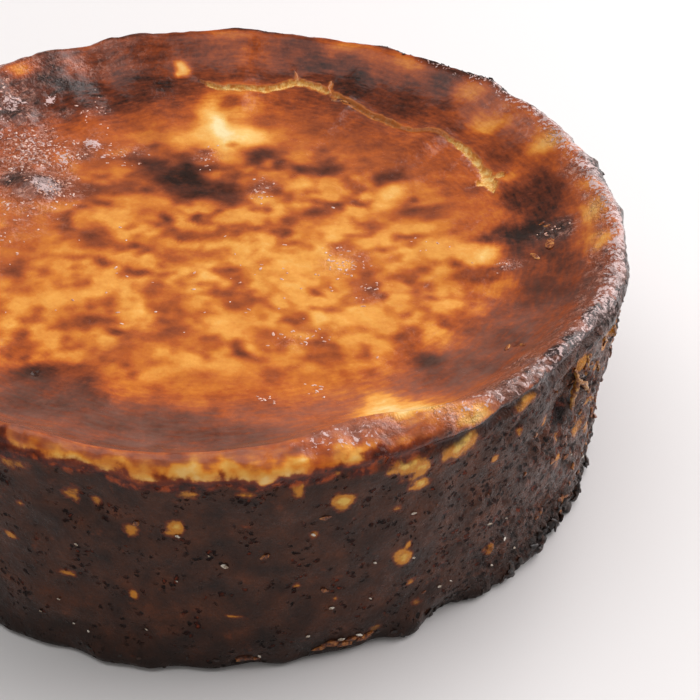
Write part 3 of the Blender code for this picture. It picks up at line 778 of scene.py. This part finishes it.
def browning(final, height, angle, on_top, on_shoulder):
    """How brown, burnt and gold each place is and where painted highlight lies on it, from its final place
    and plain height and angle.
    """
    upper = on_top | on_shoulder
    here = final[upper, :2]
    radius, _ = around(here)
    bend = 0.8 * push_at(flat(here), 8.0, 11.0, 31.0) + 0.16 * push_at(flat(here), 2.6, 2.0, 7.0)
    inward = np.zeros(len(final))
    inward[upper] = crest_radius(angle[upper]) - radius
    inward = np.maximum(inward, 0.0)
    level, outer_ring, glaze, veil = np.zeros((4, len(final)))
    level[:] = 0.4
    level[upper] = skin_level(here, radius, bend)

    push = push_at(final, 4.0, 3.0, 13.0) + 0.5 * push_at(final, 1.8, 5.0, 9.0)
    bleed = 1.3 * noise_at(final, 9.0, 7.0) + 1.9 * push[:, 0] + 0.9 * push[:, 1]
    crust_top = crust_edge(angle)
    reach = height + np.where(on_top, inward, 0.0)
    burnt = np.clip(0.5 - (reach - crust_top + bleed) / 7.0, 0.0, 1.0)

    skirt = 0.65 - 0.16 * near_angle(angle, -12.0, 21.0, 4) + 0.12 * near_angle(angle, 90.0, 32.0, 4)
    skirt += 0.24 * push[:, 1] + 0.14 * push[:, 0]
    outer = eased((55.0 - height) / 1.2)
    side = level * (1.0 - outer) + skirt * outer
    for spot in SHOULDER_GOLD:
        side += (spot[-1] - side) * spot_weight(angle, height, spot, 0.6 * push, 0.75, 2.6)
    side += (0.76 - side) * eased((crust_top - 0.6 * bleed - height) / 0.8)
    side += (0.95 - side) * char_share(angle) * bell(height - 52.2 + 0.8 * push[:, 1], 1.1, 4)
    for spot in CHARRED_EDGE:
        side += (spot[-1] - side) * spot_weight(angle, height, spot, 0.6 * push, 0.75, 2.6)
    level = np.clip(np.where(on_top, level, side), 0.0, 1.0)

    gold = np.zeros(len(final))
    for middle, at, wide, tall, target in WALL_GOLD:
        spot = (middle, at, 1.15 * wide, 1.15 * tall, target)
        weight = spot_weight(angle, height, spot, 0.5 * push, 0.6, 2.8)
        gold = np.maximum(gold, np.where(on_top, 0.0, weight * (1.2 - 1.3 * target)))

    outer_ring[upper] = eased((radius - 48.0) / 20.0)
    # Painted highlight: on listed spots of the top, and along the crest on the right and behind
    glaze[upper] = paint(np.zeros(len(here)), here, bend, PAINTED_GLINT_SPOTS, 3.0)
    near_crest = np.where(on_top, bell(inward, 2.3), eased((height - 53.1) / 0.9)) * upper
    glaze = np.maximum(glaze, np.minimum(stretches(angle, PAINTED_GLINT_STRETCHES), 0.95) * near_crest)
    lip = near_angle(angle, -12.0, 34.0, 6) * bell(height - 52.0, 3.4, 6)
    lip *= np.where(on_top, bell(inward, 2.0), 1.0)
    # Painted sheen: a grey-pink haze over the front ring of the skin, standing in for the reflection on it
    veil[upper] = 0.6 * near_angle(angle[upper], 10.0, 60.0, 4) * eased((radius - 58.0) / 10.0)
    return {
        "level": level,
        "burnt": burnt,
        "low": np.clip(1.0 - height / 13.0 + 0.3 * push[:, 0], 0.0, 1.0),
        "gold": gold,
        "ring": outer_ring,
        "glaze": glaze,
        "veil": veil * eased((height - 52.0) / 2.0),
        "lip": lip,
    }


# ---------------------------------------------------------------- finishes


def tint(*screen_values):
    """A colour from its screen values, 0 to 255, as the shader wants it."""
    shares = [value / 255.0 for value in screen_values]
    return (*(v / 12.92 if v <= 0.04045 else ((v + 0.055) / 1.055) ** 2.4 for v in shares), 1.0)


class Field:
    """What a shader node gives out. A sum of fields adds the nodes for it."""

    def __init__(self, finish, socket):
        self.finish, self.socket = finish, socket

    def __add__(self, other):
        return self.finish.sum("ADD", self, other)

    def __sub__(self, other):
        return self.finish.sum("SUBTRACT", self, other)

    def __rsub__(self, other):
        return self.finish.sum("SUBTRACT", other, self)

    def __mul__(self, other):
        return self.finish.sum("MULTIPLY", self, other)

    __radd__, __rmul__ = __add__, __mul__

    def __abs__(self):
        return self.finish.sum("ABSOLUTE", self)

    def span(self, low, high, to_low=0.0, to_high=1.0):
        """Runs smoothly between two values as the field runs between two others."""
        given = {"Value": self, "From Min": low, "From Max": high, "To Min": to_low, "To Max": to_high}
        return self.finish.node("MapRange", given, interpolation_type="SMOOTHSTEP")


class Finish:
    """A material and short ways to add its nodes. Sizes of grain are in millimetres."""

    def __init__(self, name):
        self.material = bpy.data.materials.new(name)
        self.material.use_nodes = True
        self.tree = self.material.node_tree
        self.shader = self.tree.nodes["Principled BSDF"]
        self.place = self.node("TexCoord", {}, "Object")

    def node(self, kind, given, output=0, **settings):
        """Adds a node with these inputs and settings, and gives one of its outputs."""
        node = self.tree.nodes.new("ShaderNode" + kind)
        for name, value in settings.items():
            setattr(node, name, value)
        for name, value in given.items():
            self.put(node.inputs[name], value)
        return Field(self, node.outputs[output])

    def put(self, socket, value):
        if isinstance(value, Field):
            self.tree.links.new(value.socket, socket)
        else:
            socket.default_value = value

    def set(self, **values):
        for name, value in values.items():
            self.put(self.shader.inputs[name.replace("_", " ")], value)

    def stored(self, name, output="Fac"):
        return self.node("Attribute", {}, output, attribute_name=name)

    def grain(self, size, detail=2.0, rough=0.5, warp=0.0):
        """Noise with lumps of this size."""
        given = {"Vector": self.place, "Scale": 1.0 / (size * MM), "Detail": detail}
        return self.node("TexNoise", {**given, "Roughness": rough, "Distortion": warp}, "Fac")

    def streaks(self, name):
        """Noise in the stretched places kept as an attribute."""
        given = {"Vector": self.stored(name, "Vector"), "Scale": 1.0, "Detail": 3.0}
        return self.node("TexNoise", given, "Fac")

    def cells(self, size, warp):
        """Distance to the nearest of scattered points, so far apart, pushed about by noise."""
        swirl = self.node("TexNoise", {"Vector": self.place, "Scale": 1.0 / (0.8 * size * MM)}, "Color")
        given = {0: swirl, 1: (2.0 * warp * size * MM,) * 3, 2: self.place}
        pushed = self.node("VectorMath", given, operation="MULTIPLY_ADD")
        return self.node("TexVoronoi", {"Vector": pushed, "Scale": 1.0 / (size * MM)}, "Distance")

    def sum(self, kind, first, second=0.0):
        return self.node("Math", {0: first, 1: second}, operation=kind)

    def larger(self, first, second):
        return self.sum("MAXIMUM", first, second)

    def ramp(self, value, stops):
        """A colour for each value, from stops (value, colour)."""
        colours = self.node("ValToRGB", {"Fac": value}, "Color")
        elements = colours.socket.node.color_ramp.elements
        for row, (at, colour) in enumerate(stops):
            element = elements[row] if row < 2 else elements.new(at)
            element.position, element.color = at, colour
        return colours

    def mixed(self, share, first, second):
        """Between two numbers."""
        return self.node("Mix", {0: share, 2: first, 3: second})

    def blend(self, share, first, second, kind="MIX"):
        """Between two colours."""
        return self.node("Mix", {0: share, 6: first, 7: second}, 2, data_type="RGBA", blend_type=kind)

    def relief(self, height, distance, strength=1.0, under=None):
        """Bump from a height value, its full height in millimetres."""
        given = {"Distance": distance * MM, "Strength": strength, "Height": height}
        return self.node("Bump", given if under is None else {**given, "Normal": under}, "Normal")


BROWNING = (
    (0.00, tint(250, 228, 172)),
    (0.12, tint(244, 198, 116)),
    (0.27, tint(234, 162, 74)),
    (0.40, tint(210, 125, 47)),
    (0.54, tint(180, 90, 36)),
    (0.66, tint(140, 67, 33)),
    (0.78, tint(96, 44, 24)),
    (0.90, tint(44, 20, 10)),
    (1.00, tint(24, 13, 8)),
)
CRUST = (
    (0.30, tint(38, 21, 14)),
    (0.46, tint(59, 32, 20)),
    (0.60, tint(75, 40, 23)),
    (0.74, tint(98, 51, 27)),
)
# Inside pits and torn holes: their own dark red-brown, and painted shade
PIT_COLOUR_AND_SHADE = ((0.42, tint(22, 8, 6)), (0.56, tint(50, 18, 11)), (0.68, tint(114, 46, 22)))
EMBERS = ((0.38, tint(44, 17, 12)), (0.50, tint(96, 30, 13)), (0.60, tint(172, 74, 25)))
SCORCHED = ((0.28, tint(204, 108, 38)), (0.40, tint(140, 58, 24)), (0.56, tint(76, 29, 17)))
SINGED = ((0.28, tint(104, 50, 28)), (0.40, tint(54, 25, 19)), (0.56, tint(42, 21, 18)))
CRUMBLY = ((0.38, tint(222, 148, 68)), (0.50, tint(240, 184, 98)), (0.62, tint(252, 214, 140)))


def burnt_custard():
    """Caramel skin on top, dark pitted crust with golden patches on the wall, pale inside the crack."""
    made = Finish("burnt_custard")
    grain, ramp, blend, larger, relief = made.grain, made.ramp, made.blend, made.larger, made.relief
    level, burnt, wet, gold, room, pit, low = map(made.stored, "level burnt wet gold room pit low".split())
    sealed, high, ring, glaze, veil, lip = map(made.stored, "sealed high ring glaze veil lip".split())

    # The caramel skin
    coarse = grain(4.2) - 0.5
    fine = grain(1.1, rough=0.6) - 0.5
    streak = (made.streaks("swept") - 0.5) * ring
    browned = level + 0.24 * coarse + made.mixed(ring, 0.11, 0.18) * fine + 0.32 * streak + 0.06 * wet
    skin = ramp(browned + (0.7 * coarse - 0.04) * lip, BROWNING)
    skin = blend(larger(lip, 0.5 * ring), skin, tint(255, 228, 186), "MULTIPLY")

    # The dark crust of the wall, with its golden patches, and its pits and torn holes painted dark: their own
    # red-brown and painted shade
    # Lighter and rustier where the crust is torn, most right of the front: the torn crust's own rust, and
    # painted light for the bright side it faces
    crust = ramp(grain(6.0, 4.0, 0.6) + 0.05 * wet, CRUST)
    rust_and_painted_light = (grain(3.2, 3.0, 0.65) + 0.14 * wet * wet).span(0.60, 0.78, 0.0, 0.85)
    crust = blend(rust_and_painted_light, crust, tint(104, 52, 27))
    ragged = gold + 0.5 * fine + 0.45 * coarse
    crust = blend(ragged.span(0.14, 0.38), crust, tint(106, 46, 20))
    crust = blend(ragged.span(0.34, 0.64), crust, tint(206, 132, 40))
    crust = blend(ragged.span(0.74, 1.02), crust, tint(232, 186, 88))
    # Pits and torn holes painted dark: their own colour and painted shade, more in the deeper pits
    pit_colour_and_shade = ramp(grain(1.6), PIT_COLOUR_AND_SHADE)
    bare = ragged.span(0.50, 0.24)
    pitted = (grain(5.0, rough=0.6) + 0.30 * wet).span(0.48, 0.62)
    small_pit = made.cells(1.5, 0.6).span(0.42, 0.24) * pitted * bare
    crust = blend(pit.span(0.05, 0.5) * bare, crust, pit_colour_and_shade)
    crust = blend(small_pit, crust, pit_colour_and_shade)
    crust = blend(0.85 * low, crust, tint(21, 16, 14))

    # Where the two meet: embers and a scorched edge in front, black elsewhere
    torn_edge = burnt + 0.55 * coarse + 0.22 * fine
    on_wall = torn_edge.span(0.48, 0.72)
    in_front = lip.span(0.05, 0.5)
    fringe = blend(in_front, tint(58, 28, 17), ramp(grain(2.6, 3.0, 0.6), EMBERS))
    crust = blend(torn_edge.span(1.0, 0.62, 0.0, 0.95), crust, fringe)
    scorched = blend(in_front, ramp(torn_edge, SINGED), ramp(torn_edge, SCORCHED))

    # Pale dried foam and painted highlight: glint strands over the foam, and glint patches on listed spots
    # and the crest
    wet_skin = wet * on_wall.span(0.6, 0.2)
    foamy = wet_skin * grain(4.0).span(0.36, 0.52)
    strands = abs(grain(2.3, rough=0.6, warp=0.9) - 0.5).span(0.070, 0.02)
    strands = strands * grain(1.5).span(0.42, 0.58, 0.05, 0.75) * browned.span(0.92, 0.72, 0.25, 1.0)
    patchy = (grain(1.1, 3.0, 0.65, 0.5) + 0.26 * glaze).span(0.70, 0.78) * glaze.span(0.10, 0.4, 0.0, 0.95)
    foam_and_painted_highlight = larger(foamy * strands, patchy) * browned.span(0.18, 0.44, 0.4, 1.0)
    # Painted sheen over the front ring: a grey-pink haze in place of the reflection there
    painted_sheen_share = veil * browned.span(0.22, 0.46) * (grain(7.0, 3.0, 0.6) + 1.2 * streak)
    skin = blend(painted_sheen_share, skin, tint(154, 108, 92))
    # Pale pink painted highlight, in the foam partly the pale dried foam itself
    skin = blend(foam_and_painted_highlight, skin, blend(glaze.span(0.6, 1.1), tint(228, 166, 144), tint(216, 186, 184)))
    colour = blend(torn_edge.span(0.24, 0.44), skin, scorched)
    colour = blend(on_wall, colour, crust)
    # Painted highlight: pale pink scratchy glints on the crest's burnt edge and over the glint patches
    painted_scratch_glint = torn_edge.span(0.34, 0.60) * high * wet * grain(0.8, 3.0, 0.7, 0.6).span(0.52, 0.60, 0.0, 0.75)
    painted_scratch_glint = larger(painted_scratch_glint, patchy * torn_edge.span(0.75, 0.55))
    colour = blend(painted_scratch_glint, colour, tint(214, 184, 180))

    # The crack, amber at its edges
    open_crack = room + 0.5 * fine
    colour = blend(open_crack.span(-0.95, -0.15, 0.0, 0.9), colour, tint(196, 112, 46))
    inside = blend(0.85 * sealed, ramp(grain(1.3, 3.0, 0.6), CRUMBLY), tint(168, 88, 36))
    colour = blend(open_crack.span(-0.26, 0.16), colour, inside)

    gloss = grain(2.0, 3.0, 0.6).span(0.3, 0.7, 0.15, 0.28) - 0.04 * browned.span(0.75, 1.0)
    dull = grain(1.2).span(0.3, 0.7, 0.24, 0.46) - 0.12 * wet + 0.45 * small_pit
    coat = made.mixed(on_wall, 0.8 * wet + 0.06, 0.1 * wet) * glaze.span(0.2, 1.0, 1.0, 0.5)
    made.set(
        Base_Color=colour,
        Roughness=made.mixed(on_wall, gloss, dull),
        Coat_Weight=coat * browned.span(0.98, 0.80, 0.2, 1.0),
        Coat_Roughness=0.16,
        Specular_IOR_Level=0.20,
    )

    peel = relief(grain(1.3) + 0.5 * streak, 0.10)
    froth = grain(0.9, 3.0, 0.6) - 0.35 * made.cells(1.05, 0.45)
    seething = relief(froth, 1.5, larger(foamy, 0.6 * wet_skin), peel)
    dented = relief(1.0 - small_pit, 0.45, on_wall, seething)
    torn = on_wall * (0.7 * wet + 0.3)
    crumb = relief(grain(0.9, 3.0, 0.65), 0.50, torn, dented)
    grit = relief(grain(0.45, rough=0.6), 0.22, larger(torn, glaze) * wet.span(0.1, 0.6), crumb)
    made.set(Normal=relief(grain(1.3, 3.0), 0.5, open_crack.span(-0.3, 0.3, 0.0, 0.7), grit))
    return made.material


def crumb_finish(name, dark, middle, light, rough, specular=0.4):
    """Baked crumbs, mottled between three colours."""
    made = Finish(name)
    stops = ((0.38, tint(*dark)), (0.50, tint(*middle)), (0.64, tint(*light)))
    made.set(
        Base_Color=made.ramp(made.grain(0.9, rough=0.6), stops),
        Roughness=made.grain(0.6).span(0.3, 0.7, rough - 0.1, rough + 0.1),
        Specular_IOR_Level=specular,
        Normal=made.relief(made.grain(0.5, 3.0, 0.6), 0.12),
    )
    return made.material


# ---------------------------------------------------------------- crumbs, flecks and torn bits

# How many there are, and how many of the first lie all round, on the right, strewn singly or on the torn wall
FOOT_CRUMBS, FOOT_CRUMBS_ALL_ROUND = 190, 120
RIM_CRUMBS, RIM_CRUMBS_RIGHT, RIM_CRUMBS_STREWN = 190, 95, 120
TOASTED_CRUMBS, TOASTED_CRUMBS_TORN = 150, 115
PALE_FLECKS_BEHIND = 34
RIM_HEAPS = (147.0, 136.0, 128.0, 174.0)  # angles of the heaps that the last crumbs of the rim make
# Where a place on the cake is looked for from, and the (radius, height) inside the rim
CLEAR_OF_WALL = 130.0
CLEAR_OF_TOP = 80.0
CLEAR_OF_RIM = 30.0
RIM_CORE = (84.0, 50.0)


class Surface:
    """Finds places on the finished cake, each with the way out there."""

    def __init__(self, cake):
        self.tree = BVHTree.FromObject(cake, bpy.context.evaluated_depsgraph_get())

    def seen_from(self, start, way):
        return self.tree.ray_cast(start, way)[:2]

    def on_wall(self, degrees, height):
        a = math.radians(degrees)
        out = Vector((math.sin(a), -math.cos(a), 0.0))
        return self.seen_from(out * CLEAR_OF_WALL * MM + Vector((0.0, 0.0, height * MM)), -out)

    def on_rim(self, degrees, rise):
        """On the shoulder, at an angle above level as seen from inside it."""
        a, e = math.radians(degrees), math.radians(rise)
        out = Vector((math.sin(a) * math.cos(e), -math.cos(a) * math.cos(e), math.sin(e)))
        inside = Vector((math.sin(a), -math.cos(a), 0.0)) * RIM_CORE[0] * MM
        inside += Vector((0.0, 0.0, RIM_CORE[1] * MM))
        return self.seen_from(inside + out * CLEAR_OF_RIM * MM, -out)

    def on_top(self, x, y):
        return self.seen_from(Vector((x * MM, y * MM, CLEAR_OF_TOP * MM)), Vector((0.0, 0.0, -1.0)))


def crumb_shape(seed):
    """A chunky crumb, 1 mm across."""
    bpy.ops.mesh.primitive_cube_add(size=0.8 * MM, location=(0.0, 0.0, 0.0))
    crumb = bpy.context.object
    bpy.ops.object.mode_set(mode="EDIT")
    bpy.ops.mesh.select_all(action="SELECT")
    bpy.ops.mesh.subdivide(number_cuts=1)
    bpy.ops.transform.tosphere(value=0.4)
    bpy.ops.transform.vertex_random(offset=0.20 * MM, normal=0.4, seed=seed)
    select(lambda at: at.x > 0.12)
    bpy.ops.transform.resize(value=(1.0, 0.72, 0.66), center_override=(0.0, 0.0, 0.0))
    bpy.ops.object.mode_set(mode="OBJECT")
    return crumb


def flake_shape(seed):
    """A thin curled chip, 1 mm across."""
    bpy.ops.mesh.primitive_circle_add(
        vertices=10, radius=0.5 * MM, fill_type="NGON", location=(0.0, 0.0, 0.0)
    )
    chip = bpy.context.object
    bpy.ops.object.mode_set(mode="EDIT")
    bpy.ops.mesh.select_all(action="SELECT")
    bpy.ops.mesh.extrude_region_move(TRANSFORM_OT_translate={"value": (0.0, 0.0, 0.13 * MM)})
    bpy.ops.transform.resize(value=(0.72, 0.72, 1.0))
    select(lambda at: at.z < FOUND)
    bpy.ops.mesh.edge_face_add()
    bpy.ops.mesh.select_all(action="SELECT")
    bpy.ops.mesh.normals_make_consistent(inside=False)
    bpy.ops.transform.vertex_random(offset=0.10 * MM, normal=0.2, seed=seed)
    select(lambda at: at.x > 0.15)
    bpy.ops.transform.translate(value=(0.0, 0.0, 0.16 * MM))
    bpy.ops.object.mode_set(mode="OBJECT")
    return chip


def bubble_shape():
    """A small round bubble, 1 mm across."""
    bpy.ops.mesh.primitive_uv_sphere_add(segments=8, ring_count=5, radius=0.5 * MM, location=(0.0, 0.0, 0.0))
    return bpy.context.object


def drawn(draw, size, *spans):
    """Length, width and height of a bit, each drawn from its span of sizes."""
    return tuple(size * draw.uniform(*span) for span in spans)


def settled(master, spot, turn, size, bury):
    """A copy of a crumb on the surface, turned about the way out and partly sunk in."""
    place, normal = spot
    copy = master.copy()
    copy.data = master.data.copy()
    bpy.context.scene.collection.objects.link(copy)
    centre = place + normal * (0.5 - bury) * size[2] * MM
    upright = normal.to_track_quat("Z", "Y").to_matrix().to_4x4()
    turned = Matrix.Rotation(math.radians(turn), 4, "Z")
    copy.matrix_world = Matrix.Translation(centre) @ upright @ turned @ Matrix.Diagonal((*size, 1.0))
    return copy


def joined(name, parts, finish):
    """Makes one piece of many parts, with its place in its mesh."""
    bpy.ops.object.select_all(action="DESELECT")
    for part in parts:
        part.select_set(True)
    bpy.context.view_layer.objects.active = parts[0]
    bpy.ops.object.join()
    piece = bpy.context.object
    piece.name = name
    bpy.ops.object.transform_apply(location=True, rotation=True, scale=True)
    piece.data.materials.clear()
    piece.data.materials.append(finish)
    bpy.ops.object.shade_smooth_by_angle(angle=math.radians(50.0))
    for vertex in piece.data.vertices:
        vertex.co.z = max(vertex.co.z, 0.0)
    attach(piece, BODY)
    return piece


def removed(masters):
    for master in masters:
        bpy.data.objects.remove(master, do_unlink=True)


def add_crumbs(surface):
    """Burnt lumps round the foot and on the rim's outer edge, and lighter ones on the torn wall."""
    draw = random.Random(7)
    masters = [crumb_shape(seed) for seed in range(1, 6)]
    foot, rim, toasted = [], [], []
    for row in range(FOOT_CRUMBS):
        degrees = draw.uniform(-180.0, 180.0) if row < FOOT_CRUMBS_ALL_ROUND else draw.uniform(18.0, 75.0)
        torn = coarseness(math.radians(degrees))
        size = draw.uniform(0.7, 1.7) * (0.45 + 1.2 * max(0.0, torn - 0.45))
        spot = surface.on_wall(degrees, draw.uniform(0.3, 2.0 + 3.0 * torn))
        shape = drawn(draw, size, (1.1, 2.2), (0.8, 1.3), (0.5, 0.8))
        foot.append(settled(draw.choice(masters), spot, draw.uniform(0.0, 360.0), shape, 0.5))
    for row in range(RIM_CRUMBS):
        degrees = draw.gauss(112.0, 34.0) if row < RIM_CRUMBS_RIGHT else draw.uniform(-150.0, -60.0)
        rise, largest = draw.uniform(-4.0, 24.0), 0.7
        if row >= RIM_CRUMBS_STREWN:
            degrees = draw.choice(RIM_HEAPS) + draw.gauss(0.0, 2.6)
            rise, largest = draw.uniform(22.0, 50.0), 1.1
        size = draw.uniform(0.4, largest) * (0.5 + 0.8 * char_share(math.radians(degrees)))
        shape = drawn(draw, size, (1.2, 2.8), (0.8, 1.2), (0.4, 0.7))
        master, turn = draw.choice(masters), 90.0 + draw.gauss(0.0, 22.0)
        rim.append(settled(master, surface.on_rim(degrees, rise), turn, shape, 0.65))
    for row in range(TOASTED_CRUMBS):
        degrees = draw.gauss(64.0, 11.0) if row < TOASTED_CRUMBS_TORN else draw.uniform(-180.0, 180.0)
        size = draw.uniform(0.5, 1.4)
        spot = surface.on_wall(degrees, draw.uniform(3.0, 49.0))
        shape = drawn(draw, size, (1.0, 2.0), (0.7, 1.0), (0.35, 0.6))
        toasted.append(settled(draw.choice(masters), spot, draw.uniform(0.0, 360.0), shape, 0.42))
    for degrees, height, width in FOOT_BITS:
        shape = (width, *drawn(draw, width, (0.28, 0.40), (0.16, 0.24)))
        spot = surface.on_wall(degrees, height)
        toasted.append(settled(draw.choice(masters), spot, draw.uniform(-12.0, 12.0), shape, 0.35))
    removed(masters)
    char = crumb_finish("charred_crumb", (20, 15, 13), (36, 25, 20), (62, 38, 27), 0.42)
    joined("foot_crumbs", foot, char)
    joined("rim_crumbs", rim, char)
    toast = crumb_finish("toasted_crumb", (70, 36, 22), (122, 66, 34), (176, 112, 56), 0.40)
    joined("toasted_crumbs", toasted, toast)


def add_flecks(surface):
    """Pale chips on the wall, coloured as painted glints, and curled bits of skin on top."""
    draw = random.Random(19)
    masters = [flake_shape(seed) for seed in range(1, 5)]
    pale, bits, behind = [], [], []
    for _ in range(PALE_FLECKS_BEHIND):
        behind.append((draw.uniform(48.0, 330.0), draw.uniform(4.0, 44.0), draw.uniform(0.4, 0.9)))
    for degrees, height, width in (*PALE_FLECKS, *behind):
        shape = (*drawn(draw, width, (0.9, 1.4), (0.4, 0.8)), 0.9)
        spot = surface.on_wall(degrees, height)
        pale.append(settled(draw.choice(masters), spot, draw.uniform(-40.0, 40.0), shape, 0.3))
    for x, y, width, turn in SKIN_BITS:
        shape = (width, width * 0.42, 0.8)
        bits.append(settled(draw.choice(masters), surface.on_top(x, y), turn, shape, 0.5))
    removed(masters)
    # Near white: painted highlight, the glints of the wall
    pale_glint = crumb_finish("pale_fleck", (150, 128, 108), (204, 190, 172), (236, 228, 216), 0.3)
    joined("pale_flecks", pale, pale_glint)
    amber = crumb_finish("amber_flake", (104, 48, 24), (158, 86, 40), (208, 140, 72), 0.22)
    joined("skin_flakes", bits, amber)


def add_bubbles(surface):
    """Tiny glossy bubbles set in the skin, coloured pale pinkish white as painted glints."""
    draw = random.Random(31)
    master = bubble_shape()
    bubbles = []
    for x, y, wide, deep, count in BUBBLE_CLUSTERS:
        for _ in range(count):
            spot = surface.on_top(x + draw.gauss(0.0, 0.5) * wide, y + draw.gauss(0.0, 0.5) * deep)
            size = draw.uniform(0.25, 0.65)
            shape = (size * draw.uniform(1.0, 2.2), size * 0.9, size * draw.uniform(0.35, 0.55))
            bubbles.append(settled(master, spot, draw.uniform(0.0, 360.0), shape, 0.5))
    removed([master])
    # Pale pinkish white: painted highlight, the glints that the bubbles give
    finish = crumb_finish("bubble_painted_glint", (200, 136, 110), (222, 172, 152), (240, 212, 200), 0.18, 0.5)
    joined("tiny_bubbles", bubbles, finish)


def strand_curve(surface, stops, thickness):
    """A strand's curve over the wall, thinner at its ends."""
    data = bpy.data.curves.new("strand", "CURVE")
    data.dimensions = "3D"
    data.bevel_depth = 0.5 * thickness * MM
    data.bevel_resolution = 2
    data.use_fill_caps = True
    spline = data.splines.new("NURBS")
    spline.points.add(len(stops) - 1)
    spline.use_endpoint_u = True
    spline.order_u = 3
    spline.resolution_u = 6
    for row, (point, (degrees, height, out)) in enumerate(zip(spline.points, stops)):
        place, normal = surface.on_wall(degrees, height)
        point.co = (*(place + normal * out * thickness * MM), 1.0)
        point.radius = 0.5 if row in (0, len(stops) - 1) else 0.85 + 0.30 * (-1) ** row
    return data


def add_strands(surface):
    """Strands of torn custard across the hollows of the wall."""
    strands = []
    for seed, (stops, thickness) in enumerate(STRANDS, 1):
        strand = bpy.data.objects.new("strand", strand_curve(surface, stops, thickness))
        bpy.context.scene.collection.objects.link(strand)
        bpy.ops.object.select_all(action="DESELECT")
        strand.select_set(True)
        bpy.context.view_layer.objects.active = strand
        bpy.ops.object.convert(target="MESH")
        bpy.ops.object.mode_set(mode="EDIT")
        bpy.ops.mesh.select_all(action="SELECT")
        bpy.ops.mesh.remove_doubles(threshold=0.01 * MM)
        bpy.ops.mesh.normals_make_consistent(inside=False)
        bpy.ops.transform.vertex_random(offset=0.20 * MM, normal=0.5, seed=seed)
        bpy.ops.object.mode_set(mode="OBJECT")
        strands.append(bpy.context.object)
    golden = crumb_finish("torn_custard", (104, 54, 26), (164, 104, 46), (206, 156, 80), 0.34)
    joined("torn_strands", strands, golden)


# ---------------------------------------------------------------- stage, lights and camera

# The camera, as fitted to the rim and the foot: distances in radii of the cake, turns in radians
CAMERA_DISTANCE = 3.74177
CAMERA_LIFT = 0.25
CAMERA_RISE = 0.61935
CAMERA_PAN = 0.10669
CAMERA_TILT = 0.02444
CAMERA_ROLL = 0.03660
CAMERA_LENS = 72.88


def make_camera():
    """Stands in front, a little right of the middle in its view, and looks down on the cake."""
    data = bpy.data.cameras.new("camera")
    data.sensor_width = 36.0
    data.lens = CAMERA_LENS
    camera = bpy.data.objects.new("camera", data)
    bpy.context.scene.collection.objects.link(camera)
    back, up = CAMERA_DISTANCE * math.cos(CAMERA_RISE), CAMERA_DISTANCE * math.sin(CAMERA_RISE) + CAMERA_LIFT
    place = Vector((0.0, -back, up)) * EDGE_RADIUS * MM
    turn = Matrix.Rotation(-CAMERA_PAN, 4, "Z")
    turn @= Matrix.Rotation(0.5 * math.pi - CAMERA_RISE - CAMERA_TILT, 4, "X")
    camera.matrix_world = Matrix.Translation(place) @ turn @ Matrix.Rotation(CAMERA_ROLL, 4, "Z")
    bpy.context.scene.camera = camera


def soft_box(name, azimuth, elevation, distance, size, watts, colour):
    """A soft area light aimed at the cake, in metres. Azimuth is round the cake from the front towards +X."""
    data = bpy.data.lights.new(name, "AREA")
    data.shape = "RECTANGLE"
    data.size, data.size_y = size
    data.energy = watts
    data.color = colour
    light = bpy.data.objects.new(name, data)
    bpy.context.scene.collection.objects.link(light)
    a, e = math.radians(azimuth), math.radians(elevation)
    away = Vector((math.sin(a) * math.cos(e), -math.cos(a) * math.cos(e), math.sin(e)))
    light.location = away * distance + Vector((0.0, 0.0, 0.03))
    light.rotation_euler = away.to_track_quat("Z", "Y").to_euler()
    light.visible_camera = False


def make_stage():
    bpy.ops.mesh.primitive_plane_add(size=6.0, location=(0.0, 0.0, 0.0))
    floor = bpy.context.object
    floor.name = "pale_floor"
    finish = Finish("pale_board")
    finish.set(Base_Color=tint(236, 234, 234), Roughness=0.55)
    floor.data.materials.append(finish.material)
    world = bpy.data.worlds.new("studio")
    world.use_nodes = True
    world.node_tree.nodes["Background"].inputs["Color"].default_value = (1.0, 0.97, 0.95, 1.0)
    world.node_tree.nodes["Background"].inputs["Strength"].default_value = 0.34
    bpy.context.scene.world = world
    soft_box("back_window", 121.0, 33.0, 1.8, (2.3, 1.7), 42.0, (1.0, 0.96, 0.96))
    soft_box("overhead", -110.0, 70.0, 1.5, (1.3, 1.3), 9.0, (1.0, 1.0, 1.0))
    bpy.context.scene.view_settings.view_transform = "Standard"


# ---------------------------------------------------------------- putting it together

bpy.ops.object.select_all(action="DESELECT")
make_camera()
make_stage()
bpy.ops.object.select_all(action="DESELECT")
cake = plain_cake()
shape_cake(cake)
cake.data.materials.append(burnt_custard())
bpy.ops.object.shade_smooth()
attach(cake, BODY)
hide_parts(NODE)
surface = Surface(cake)
add_crumbs(surface)
add_flecks(surface)
add_bubbles(surface)
add_strands(surface)
